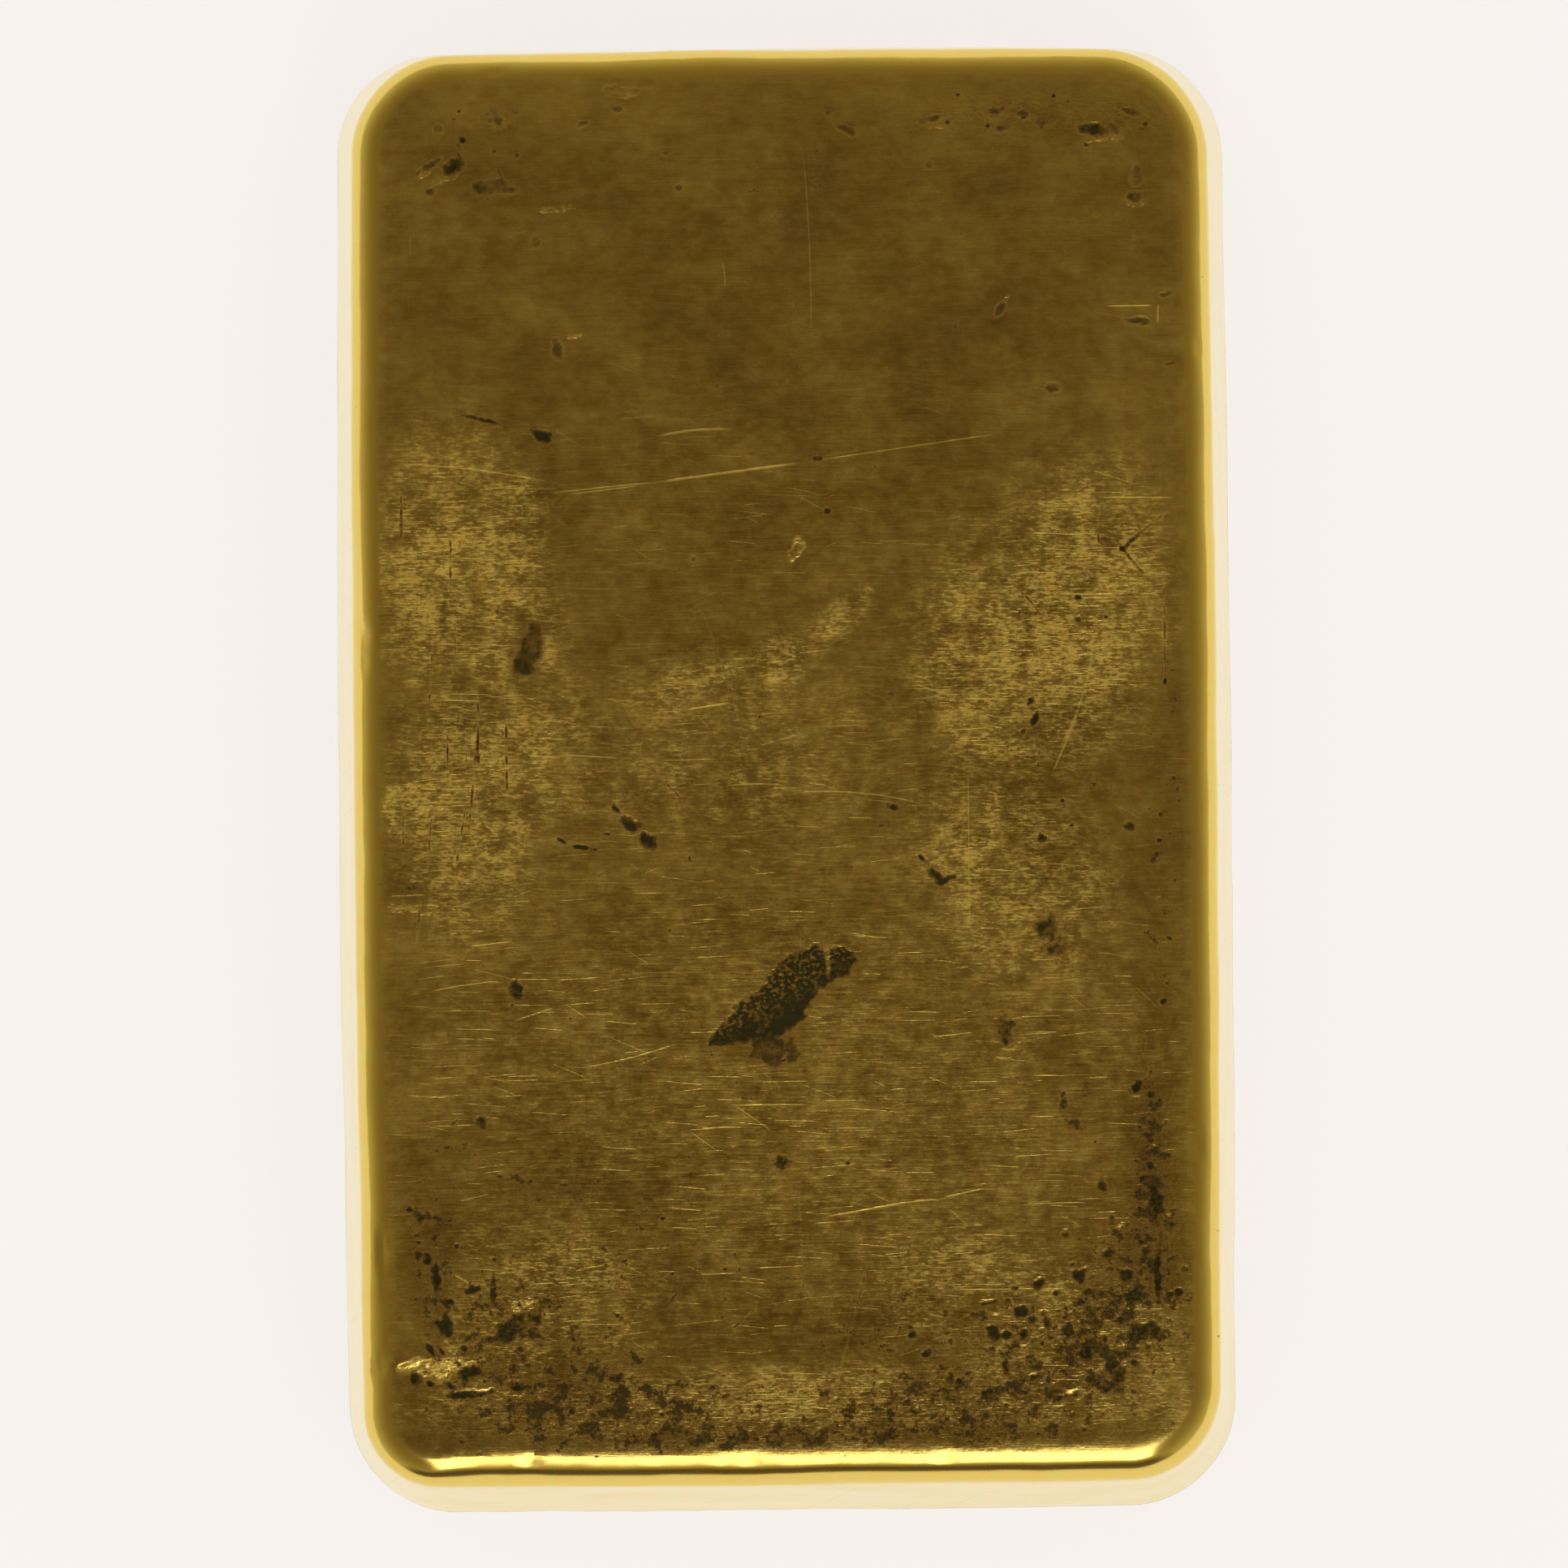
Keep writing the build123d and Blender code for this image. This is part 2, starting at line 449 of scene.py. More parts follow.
# Where small pits crowd: x, y, half length, half breadth, turn, number of pits, largest size
PIT_FIELDS = (
    (10.4, -19, 4.2, 3.2, 50, 80, 0.42),
    (6.6, -21.4, 5, 1.6, 5, 50, 0.3),
    (12.3, -14.5, 0.6, 4.6, 0, 34, 0.38),
    (-11.2, -19.2, 1.8, 3.2, 0, 26, 0.3),
    (-6, -22, 5, 1, 0, 40, 0.24),
    (-9.6, -20.6, 3, 1.8, 20, 20, 0.28),
    (9, 21.9, 3.6, 0.8, 0, 24, 0.3),
    (-10.8, 21, 2.2, 1.8, 0, 14, 0.28),
    (12.9, -2, 0.5, 8, 0, 26, 0.24),
    (-12.8, -14, 0.4, 2.4, 0, 12, 0.25),
    (8.9, 0.5, 1.6, 4, 0, 16, 0.2),
    (0, -8, 10, 12, 0, 90, 0.16),
    (-6, -18, 6, 3, 0, 50, 0.2),
)

# Fields that darken the face, of thin olive and brown film and, in the last two over the upper part,
# painted shade: x, y, half length, half breadth, turn, strength
FILMS_AND_SHADE = (
    (10.9, -19.2, 3.4, 2.4, 45, 1.25),
    (12, -17.4, 1.6, 3.4, 0, 1.15),
    (7.6, -19.8, 3.4, 2.6, 20, 0.96),
    (6, -21.7, 6.5, 1.4, 0, 1.15),
    (-6.5, -21.8, 6, 1.5, 0, 1.22),
    (0, -22.7, 12.6, 0.6, 0, 1.25),
    (-9.6, -19.4, 3.4, 2.6, 20, 1.02),
    (-7, -20.6, 3.4, 1.8, 0, 0.96),
    (-12.2, -17, 1, 3, 0, 1.02),
    (-11.6, -13.2, 1.4, 1.4, 0, 0.77),
    (-6, -17, 6, 4, 0, 0.64),
    (4, -19.4, 5, 2.6, 0, 0.77),
    (12.2, -15, 0.9, 4.6, 0, 1.25),
    (12.6, -6, 0.7, 5.5, 0, 0.75),
    (13.2, -1, 0.4, 8, 0, 0.65),
    (9.3, -1, 3.2, 3.6, 0, 0.5),
    (9.6, 21.9, 3.2, 0.5, 0, 0.62),
    (-10.6, 20.5, 2.2, 1.4, 0, 0.58),
    (-8.5, -14.3, 3.6, 0.8, 0, 0.77),
    (-12.9, -4, 0.9, 0.5, 0, 0.9),
    (-12.5, 0, 1.4, 1, 0, 0.45),
    # Painted shade: these two darken the upper part of the face, where less of the softbox's light reaches
    (1.5, 16.5, 7, 7, 0, 0.42),
    (3, 8.5, 5, 3, 0, 0.3),
)

# Fields of crust that make the surface gritty, in the same form
CRUSTS = (
    (10.9, -19.2, 3.4, 2.6, 45, 0.45),
    (7, -21.6, 4.5, 1.6, 0, 0.4),
    (0, -22.6, 12.6, 0.5, 0, 0.5),
    (-10, -19.6, 3, 2.6, 0, 0.35),
    (12.3, -14, 0.9, 4.6, 0, 0.4),
    (9, 22, 4, 0.8, 0, 0.35),
)

# Fields worn rough by handling, that glint, in the same form
WORN = (
    (-11.8, 6.8, 1.8, 3.9, 0, 1.05),
    (-10, 6.2, 2, 4.6, 10, 0.8),
    (-9.6, 9, 1.6, 1.2, 0, 0.7),
    (-11, -1.2, 2.2, 4, 0, 0.85),
    (-8.8, 0.5, 2.6, 2.6, 0, 0.6),
    (9.6, 4.9, 2.8, 4.4, -15, 1.05),
    (10.6, 8.6, 2, 1.6, 0, 0.65),
    (7, 3, 2.2, 3.8, 10, 0.85),
    (7.5, -3.5, 2.6, 3.6, 30, 0.72),
    (-0.1, 3.6, 1, 0.9, 25, 0.75),
    (-3.2, 2.8, 1.9, 0.6, 15, 0.75),
    (1.6, 4.7, 1.6, 0.5, 40, 0.75),
    (-2, 0.5, 5, 3, 0, 0.35),
    (-8.5, -18.2, 3.6, 2.6, 0, 0.65),
    (6, -18, 3.6, 2, 0, 0.55),
    (9.5, -20, 3.4, 2.4, 0, 0.85),
    (0, -21.7, 12, 1.1, 0, 0.85),
    (0, -11, 13, 8, 0, 0.1),
)

# Fields scratched by sliding on other bars and benches, in the same form
SCUFFED = (
    (0, -11.5, 14, 9, 0, 0.8),
    (0, 1, 13, 6, 0, 0.35),
    (0, 7.5, 11, 4.5, 0, 0.34),
)

# Patches where the gold is crushed bright: x, y, length, breadth, turn, strength, southward drop
CRUSHED = (
    (-13.38, -1.55, 0.55, 1.4, 0, 1.6, 0),
    (-12.3, -1.1, 1.35, 1.2, 0, 1.7, 0),
    (-12.65, -0.6, 1.1, 0.45, 0, 1.1, 0),
    (-12, -20.45, 1.5, 0.8, 4, 3, 0.11),
    (-12.95, -20.3, 0.9, 0.4, 24, 3.4, 0.06),
    (-11.65, -19.68, 0.5, 0.35, -60, 1.4, 0),
    (-12.65, -3.75, 0.18, 0.4, 0, 1.8, 0),
    (-12.55, -4.75, 1.6, 0.35, 0, 1.1, 0),
    (0.45, 7.3, 0.7, 0.35, 60, 1.5, 0),
    (6.6, -4.2, 0.3, 3.2, 0, 0.9, 0),
    (-9.15, -18.35, 0.8, 0.6, 0, 1.3, 0.05),
    (-7.5, 19, 1.1, 0.3, 2, 0.9, 0),
    (-7.1, 14.65, 0.45, 0.14, 0, 1.6, 0),
    (5.3, 21.62, 0.8, 0.15, 8, 0.7, 0),
    (7.3, 21.88, 1.1, 0.15, 4, 0.7, 0),
    (10.7, 21.25, 1, 0.18, 2, 0.8, 0),
    (11.6, 21.3, 0.5, 0.15, 0, 0.6, 0),
    (12.2, 19.05, 0.6, 0.14, 0, 0.8, 0),
    (-11.4, 20.15, 0.9, 0.2, 20, 0.7, 0),
    (-12.1, 20.35, 0.6, 0.18, 30, 0.7, 0),
    (-9.7, 21.8, 0.6, 0.14, 0, 0.6, 0),
    (7.7, 15.8, 0.35, 0.16, 50, 1.2, 0),
    (-5.4, 23, 1.4, 0.5, 0, 0.7, 0),
    (10.3, 4.6, 0.6, 2.2, -14, 1, 0),
)

# The slag scab's outline
SCAB = (
    (-2.75, -9.5), (-2.1, -8.6), (-1, -7.55), (-0.1, -6.55), (0.95, -6.1), (1.3, -6.3),
    (1.75, -6.15), (2.55, -6.55), (2.05, -7.2), (1.25, -7.65), (0.9, -8.05), (0.35, -8.95),
    (-0.7, -9.25), (-1.6, -9.55),
)
SCAB_OVAL = (-0.2, -8.2, 3, 1.8, 33)  # x, y, half length, half breadth and turn round it
SCAB_REACH = (-0.2, -8, 3.2)  # x, y and half side of a square round it

# Long scratches one by one: x, y of the middle, length, turn in degrees, bow, breadth, depth
LONG_SCRATCHES = (
    (-10.4, 10.15, 5.3, -8, 0.1, 0.07, 0.008),
    (-6, 9.5, 4, 5, 0, 0.07, 0.008),
    (-1.8, 9.95, 5.4, 7, 0, 0.1, 0.014),
    (4.2, 10.75, 7, 8, 0, 0.06, 0.008),
    (-3, 11.4, 2.7, 5, 0.1, 0.1, 0.01),
    (-6.1, 9.4, 2.5, 6, 0, 0.05, 0.008),
    (12, 9, 3, 0, 0, 0.06, 0.01),
    (10.2, 5.7, 2.3, -1, 0, 0.07, 0.012),
    (10.3, 5.3, 1.2, 0, 0, 0.05, 0.01),
    (-2.6, 2, 1.5, 8, 0, 0.08, 0.014),
    (-1, -0.65, 2.2, 0, 0.05, 0.06, 0.008),
    (2.6, -1, 5, -6, 0.25, 0.05, 0.006),
    (-6.7, 0.35, 2, -4, 0, 0.05, 0.008),
    (-10, -6, 1.6, 6, 0, 0.06, 0.01),
    (-11, -7.4, 2.6, 8, 0.05, 0.05, 0.008),
    (-8.6, -8.4, 1.6, 18, 0, 0.05, 0.008),
    (-5.3, -9.9, 3.6, 14, -0.1, 0.06, 0.01),
    (-9, -10.5, 1.2, 2, 0, 0.05, 0.008),
    (-0.6, -11.55, 2.7, 0, 0, 0.05, 0.01),
    (-1.2, -12, 1.7, -35, 0, 0.04, 0.008),
    (-2.3, -12.3, 1.6, 0, 0, 0.04, 0.008),
    (2.6, -15.15, 2.9, 9, 0, 0.08, 0.014),
    (3.7, -14.95, 3.5, 8, 0.1, 0.07, 0.012),
    (6, -14.6, 1.6, 12, 0, 0.06, 0.01),
    (9, -15, 2.4, 1, 0, 0.05, 0.008),
    (7.4, -17.9, 4.3, 0, 0, 0.06, 0.01),
    (12, -18.65, 1.6, 0, 0, 0.07, 0.012),
    (-8.2, -17.55, 1.5, 2, 0, 0.05, 0.01),
    (-6.7, -17, 0.7, 6, 0, 0.06, 0.01),
    (-13.05, -20.22, 0.9, 24, -0.05, 0.12, 0.03),
    (-12, -20.12, 1.4, 3, 0.03, 0.09, 0.024),
    (-10.8, -20.18, 0.85, 8, 0, 0.08, 0.022),
    (-12.15, -20.85, 1.1, 8, 0, 0.07, 0.018),
    (-11.2, -17.4, 0.6, -30, 0, 0.07, 0.014),
    (11.9, 15.55, 1.8, 1, 0, 0.06, 0.01),
    (12.85, 15.3, 0.7, 88, 0, 0.07, 0.01),
    (-3.2, 0.2, 2.3, 1, 0, 0.04, 0.006),
    (-12.85, -4.33, 1.3, 1, 0, 0.06, 0.014),
    (1, 17.8, 7, -88, 0.1, 0.06, 0.0045),
    (-1.9, 16.7, 1, -85, 0.05, 0.06, 0.006),
    (6.2, -2.9, 6, 90, 0, 0.05, 0.006),
    (10.1, 2.2, 4.6, 72, -0.3, 0.1, 0.007),
    (9.5, 0.6, 2.2, 66, 0, 0.08, 0.012),
)

# Dirty gouges along the length, and others that look dark, in the same form
DARK_SCRATCHES = (
    (-12.97, 8.6, 2, 90, 0, 0.09, 0.012),
    (-11.3, 7, 3.1, 90, 0, 0.09, 0.01),
    (-11.16, 4.4, 1.5, 90, 0, 0.08, 0.01),
    (-12, 3, 3.8, 86, 0, 0.08, 0.012),
    (-10.4, 1.1, 3, 90, 0, 0.09, 0.012),
    (-12.98, -2, 1.7, 90, 0, 0.08, 0.012),
    (-12.1, -2.6, 2.2, 85, 0, 0.09, 0.014),
    (-11, -2.2, 2.7, 80, 0, 0.08, 0.012),
    (-9.45, 0.4, 3.2, 90, 0, 0.09, 0.012),
    (-10.6, -0.6, 4.2, 84, 0, 0.09, 0.01),
    (-12.65, 18.1, 1.3, 90, 0, 0.06, 0.008),
    (-11.45, 0.35, 1.8, 90, 0, 0.06, 0.01),
    (-12.5, -5.2, 1.8, 85, 0, 0.09, 0.012),
    (12.2, 7.85, 2.5, 40, 0.05, 0.15, 0.014),
    (11.85, 6.85, 1.7, -50, 0, 0.12, 0.012),
    (10.7, 8.1, 1.8, 85, 0.2, 0.08, 0.01),
    (12.92, 4, 4.2, 90, 0, 0.09, 0.01),
    (8.2, 5.7, 2.1, -48, 0.1, 0.08, 0.008),
    (-2.1, 3.4, 4.8, -72, 0.1, 0.08, 0.006),
    (-4.6, 0, 5.9, -48, -0.2, 0.08, 0.006),
    (2.1, -19, 4.8, 75, 0, 0.09, 0.008),
    (-1.6, -18.8, 1.3, 40, 0, 0.09, 0.01),
    (0.4, -16.5, 4.2, 92, 0, 0.09, 0.004),
    (-9.6, -11.7, 3.6, -25, 0, 0.06, 0.006),
)


def mark_place(x, y, mark):
    """How far a point is from a mark's middle, 1 being its edge, and how far south in it."""
    mark_x, mark_y, long, wide, turn = mark[:5]
    away = Matrix.Rotation(-radians(turn), 2) @ Vector((x - mark_x, y - mark_y))
    ragged = 0.0
    for size, strength in ((0.9, 0.50), (0.4, 0.50), (0.18, 0.40)):
        if size < 1.5 * max(long, wide):
            ragged += strength * noise.noise(Vector((x / size, y / size, mark_x + size)))
    reach = hypot(away.x / long, away.y / wide) * 2 + ragged
    return reach, (mark_y - y) / max(long, wide)


def ease(value):
    """From 0 to 1, smoothly, as the value goes from 0 to 1."""
    value = min(max(value, 0), 1)
    return value * value * (3 - 2 * value)


def field_strength(x, y, fields):
    """The strongest of some soft-edged oval fields at a point."""
    strongest = 0
    for field in fields:
        middle_x, middle_y, half_long, half_wide, turn, strength = field
        away = Matrix.Rotation(-radians(turn), 2) @ Vector((x - middle_x, y - middle_y))
        reach = hypot(away.x / half_long, away.y / half_wide)
        strongest = max(strongest, strength * ease((1.7 - reach) / 1.4))
    return strongest


def outline_depth(x, y, outline):
    """How far inside an outline a point is, in millimetres, or outside it, as a negative number."""
    inside = False
    nearest = 1e9
    point = Vector((x, y))
    for i, (x1, y1) in enumerate(outline):
        x0, y0 = outline[i - 1]
        if (y0 > y) != (y1 > y) and x < (x1 - x0) * (y - y0) / (y1 - y0) + x0:
            inside = not inside
        begin = Vector((x0, y0))
        run = Vector((x1, y1)) - begin
        share = min(max((point - begin).dot(run) / run.length_squared, 0), 1)
        nearest = min(nearest, (point - begin - share * run).length)
    return nearest if inside else -nearest


def small_pits():
    """Small pits in their crowds, in the same form as the named ones."""
    chance = random.Random(7)
    pits = []
    for x, y, half_long, half_wide, turn, number, largest in PIT_FIELDS:
        turned = Matrix.Rotation(radians(turn), 2)
        for _ in range(number):
            spread = Vector((chance.gauss(0, 0.55) * half_long, chance.gauss(0, 0.55) * half_wide))
            place = turned @ spread
            size = largest * (0.35 + 0.65 * chance.random() ** 2)
            shape = size * chance.uniform(0.6, 1.0)
            burr = chance.choice((0, 0, 0, 0.010, 0.016))
            depth = size * chance.uniform(0.12, 0.25)
            stain_and_shade = chance.uniform(0.3, 1.0)
            tilt = chance.uniform(-30, 30)
            pits.append((x + place.x, y + place.y, size, shape, tilt, depth, stain_and_shade, burr))
    return pits


class Near:
    """Finds vertices near a place quickly, by squares of 1 mm."""

    def __init__(self, vertices):
        self.squares = {}
        for vertex in vertices:
            self.squares.setdefault((round(vertex.co.x), round(vertex.co.y)), []).append(vertex)

    def __call__(self, x, y, reach):
        for i in range(round(x - reach), round(x + reach) + 1):
            for j in range(round(y - reach), round(y + reach) + 1):
                yield from self.squares.get((i, j), ())


def refine_face(bm, down_layer, marks):
    """Divides the mould face's squares where small marks need it, once or twice."""
    fine = [(*mark[:2], mark[2] * 0.75 + 0.1, mark[3] * 0.75 + 0.1, mark[4]) for mark in marks]
    fine.append(SCAB_OVAL)
    for smallest in (0.20, 0.10):
        chosen = set()
        near = Near([v for v in bm.verts if v[down_layer] == 0])
        for x, y, half_long, half_wide, turn in fine:
            turned = Matrix.Rotation(-radians(turn), 2)
            for vertex in near(x, y, max(half_long, half_wide)):
                away = turned @ (vertex.co.xy - Vector((x, y)))
                if hypot(away.x / half_long, away.y / half_wide) < 1:
                    chosen.update(vertex.link_faces)
        chosen = [
            face
            for face in chosen
            if len(face.verts) == 4
            and all(vertex[down_layer] == 0 for vertex in face.verts)
            and face.calc_area() > (smallest * 0.9) ** 2
        ]
        edges = list({edge for face in chosen for edge in face.edges})
        bmesh.ops.subdivide_edges(bm, edges=edges, cuts=1, use_grid_fill=True)


def press_marks(near, pits, stain_and_shade_layer, crust_layer):
    """Sinks the pits, bubbles and scab into the mould face, raises their rims and darkens them with
    stains, which in the pits are partly painted shade of their hollows.
    """
    for mark in pits:
        reach_mm = max(mark[2], mark[3]) * 0.9 + 0.15
        depth, stain_and_shade, burr = mark[5:8]
        for vertex in near(mark[0], mark[1], reach_mm):
            x, y = vertex.co.x, vertex.co.y
            reach, south = mark_place(x, y, mark)
            if reach > 1.8:
                continue
            vertex.co.z -= pit_share * depth * ease((1.1 - reach) / 0.8)
            if burr:
                vertex.co.z += burr_share * burr * exp(-(((reach - 1.2) / 0.25) ** 2)) * ease(south * 3)
            # Painted shade: a pit's darkening is partly soot and partly the shade of its hollow, whose
            # depth the mesh keeps only in part
            soot_and_shade = stain_and_shade * min(max((1.6 - reach) / 1.1, 0), 1.1)
            vertex[stain_and_shade_layer] = max(vertex[stain_and_shade_layer], soot_and_shade)
    for mark in RINGS:
        for vertex in near(mark[0], mark[1], max(mark[2], mark[3])):
            reach, _ = mark_place(vertex.co.x, vertex.co.y, mark)
            vertex.co.z += rim_share * mark[5] * exp(-(((reach - 1) / 0.22) ** 2))
            vertex.co.z -= 0.012 * ease((0.9 - reach) / 0.5)
            soot_and_shade = 0.8 * min(max(1.3 - reach, 0), 1)
            vertex[stain_and_shade_layer] = max(vertex[stain_and_shade_layer], soot_and_shade)
    for vertex in near(*SCAB_REACH):
        x, y = vertex.co.x, vertex.co.y
        depth = outline_depth(x, y, SCAB) + 0.14 * noise.noise(Vector((x * 4, y * 4, 0)))
        inside = ease(depth / 0.40 + 0.50)
        vertex.co.z -= inside * (0.02 + 0.012 * noise.noise(Vector((x * 5.5, y * 5.5, 3))))
        # Its northwest half is crumbly, its southeast edge smooth, and a crack crosses its east end
        northwest = (y + 8.0) * 0.857 - (x + 0.2) * 0.515
        crumbly = ease(0.55 + northwest / 0.9)
        cracked = exp(-(((x - 1.38) / 0.07) ** 2)) * ease((y + 7.4) / 0.4)
        soot_and_shade = 0.88 * inside * (1 - 0.7 * cracked)
        vertex[stain_and_shade_layer] = max(vertex[stain_and_shade_layer], soot_and_shade)
        vertex[crust_layer] = inside * crumbly


def dent_edges(bm, down_layer):
    """Presses the nicks into the rounded edges."""
    for vertex in bm.verts:
        if not 0 < vertex[down_layer] < nick_band:
            continue
        for nick in NICKS:
            if abs(vertex.co.x - nick[0]) < 2 and abs(vertex.co.y - nick[1]) < 2:
                reach, _ = mark_place(vertex.co.x, vertex.co.y, nick)
                vertex.co -= vertex.normal * nick[5] * ease((1.2 - reach) / 0.6)


def lay_scratches(bm, near, layers):
    """Tells the vertices near each long scratch how far across and along it they are.

    Scratches that come close to each other go to different layers. A layer's four values are the
    place across, from -1 to 1 on the scratch and its burrs, the place along, the depth and the soiling.
    """
    far = 20
    clear = 0.9
    laid = [[] for _ in layers]
    closest = [{} for _ in layers]
    for vertex in bm.verts:
        for layer in layers:
            vertex[layer] = (far, 0, 0, 0)
    both = [(scratch, 0.0) for scratch in LONG_SCRATCHES]
    both += [(scratch, 0.36 + 14 * scratch[6]) for scratch in DARK_SCRATCHES]
    for (x, y, long, turn, bow, wide, depth), soil in both:
        heading = Vector((cos(radians(turn)), sin(radians(turn))))
        steps = ceil(long / 0.5)
        points = [Vector((x, y)) + heading * long * (i / steps - 0.5) for i in range(steps + 1)]
        channel = 0
        while channel < len(layers) - 1 and any(
            (point - other).length < clear for point in points for other in laid[channel]
        ):
            channel += 1
        laid[channel] += points
        layer = layers[channel]
        seen = set()
        for point in points:
            seen.update(near(point.x, point.y, 1.2))
        for vertex in seen:
            away = vertex.co.xy - Vector((x, y))
            along = away.dot(heading) / (long / 2)
            across = heading.cross(away) + bow * along * along
            distance = hypot(across, max(abs(along) - 1, 0) * long / 2)
            if distance > closest[channel].get(vertex, 1.3):
                continue
            closest[channel][vertex] = distance
            on_it = distance < 0.42
            place = min(max(across / (wide if soil else 0.65 * wide), -far), far)
            cut = (0.2 if soil else 0.6) * depth
            vertex[layer] = (place, along, cut if on_it else 0, soil if on_it else 0)


def wave_surfaces(bm, down_layer):
    """Gives each surface the slow unevenness of a casting."""
    bm.normal_update()
    for vertex in bm.verts:
        x, y, z = vertex.co
        down = vertex[down_layer]
        if down == 0:
            wave = 0.020 * noise.noise(Vector((x / 5, y / 7, 0)))
            wave += 0.010 * noise.noise(Vector((x / 2.2, y / 2.6, 5)))
            edge_x, edge_y, _ = sizes_at(height - skin, edge_inset)
            gap = min(edge_x - abs(x), edge_y - abs(y))
            vertex.co.z += wave * ease(gap / 1.5)
        elif z > 0.02:
            ripple = 0.006 * noise.noise(Vector((x / 0.55, y / 0.55, z / 0.4)))
            vertex.co -= vertex.normal * (ripple + 0.002) * ease(down / 0.3) * ease(z / 0.8)
            wave = 0.05 * (0.35 + noise.noise(Vector((x / 4, y / 4, z / 3))))
            wave += 0.012 * (0.35 + noise.noise(Vector((x / 0.9, y / 0.9, z / 1.4))))
            strength = ease(down / 1.2) * ease(z / 0.8)
            vertex.co -= vertex.normal * max(wave, 0) * strength
        gap, southward = edge_gap(x, y, sizes_at(height, 0))
        roll = roll_drop * max(1 - max(gap, 0) / roll_width, 0) ** 2 * southward
        roll *= ease((x + roll_start) / 2.4)
        crown = crown_drop * max(1 - max(gap, 0) / crown_width, 0) ** 2
        from_south = y + pour_half[1] - height * tan(draft)
        from_side = pour_half[0] - height * tan(draft) - abs(x)
        crown *= 1 - ease(1 - from_south / 3) * ease(from_side / 3)
        vertex.co.z -= (roll + crown) * z / height


def sink_pour_face(bm, down_layer, lip_end):
    """Sinks the middle of the pour face, and leaves the ripples it froze with."""
    half_x = (width / 2 - sink_margin) / sin(sink_reach)
    half_y = (length / 2 - sink_margin) / sin(sink_reach)
    half_z = sink_depth / (1 - cos(sink_reach))
    for vertex in bm.verts:
        if vertex[down_layer] < lip_end:
            continue
        x, y = vertex.co.x, vertex.co.y
        dome = 1 - (x / half_x) ** 2 - (y / half_y) ** 2
        sunk = max(half_z * sqrt(dome) - half_z + sink_depth, 0)
        reach = hypot(x / (width / 2), y / (length / 2))
        drift = 0.06 * noise.noise(Vector((x / 6, y / 6, 9)))
        ripple = 0.5 + 0.5 * cos(2 * pi * (reach + drift) * 13)
        rough = 0.5 + noise.noise(Vector((x / 1.5, y / 1.5, 2)))
        vertex.co.z = sunk + ease((1 - reach) * 6) * (0.022 * ripple + 0.010 * rough)


def bow_sides(bm):
    """Pulls the ends of each side in, so that each has the bow of its own."""
    for vertex in bm.verts:
        x, y = vertex.co.x, vertex.co.y
        share_x = x / pour_half[0]
        share_y = y / pour_half[1]
        bow_x = bow_east if x > 0 else bow_west
        bow_y = bow_north if y > 0 else bow_south
        vertex.co.x -= bow_x * share_x * share_y**2
        vertex.co.y -= bow_y * share_y * share_x**2


def unwrap(bm, around_layer, down_layer, lip_end):
    """Lays the mould face out flat with the sides round it as a skirt, and the pour face beside it."""
    uv_layer = bm.loops.layers.uv.new("OFBake")
    face_sizes = sizes_at(height - skin, edge_inset)
    skirt = 0.5  # the sides take half the texture of the face, as they are less marked
    scale = 0.985 / (2 * face_sizes[1] + 2 * skirt * lip_end)
    middle = (0.008 + scale * (face_sizes[0] + skirt * lip_end), 0.5)
    under_scale = (1 - 0.024 - 2 * scale * (face_sizes[0] + skirt * lip_end)) / width
    under_middle = (1 - 0.008 - under_scale * width / 2, 0.5)
    for face in bm.faces:
        under = all(vertex[down_layer] >= lip_end - 1e-4 for vertex in face.verts)
        for loop in face.loops:
            vertex = loop.vert
            if under:
                u = under_middle[0] + under_scale * vertex.co.x
                v = under_middle[1] + under_scale * vertex.co.y
            else:
                point = vertex.co.xy
                if vertex[down_layer] > 0:
                    edge, outward = plan_point(vertex[around_layer], face_sizes)
                    point = edge + outward * vertex[down_layer] * skirt
                u = middle[0] + scale * point.x
                v = middle[1] + scale * point.y
            loop[uv_layer].uv = (u, v)


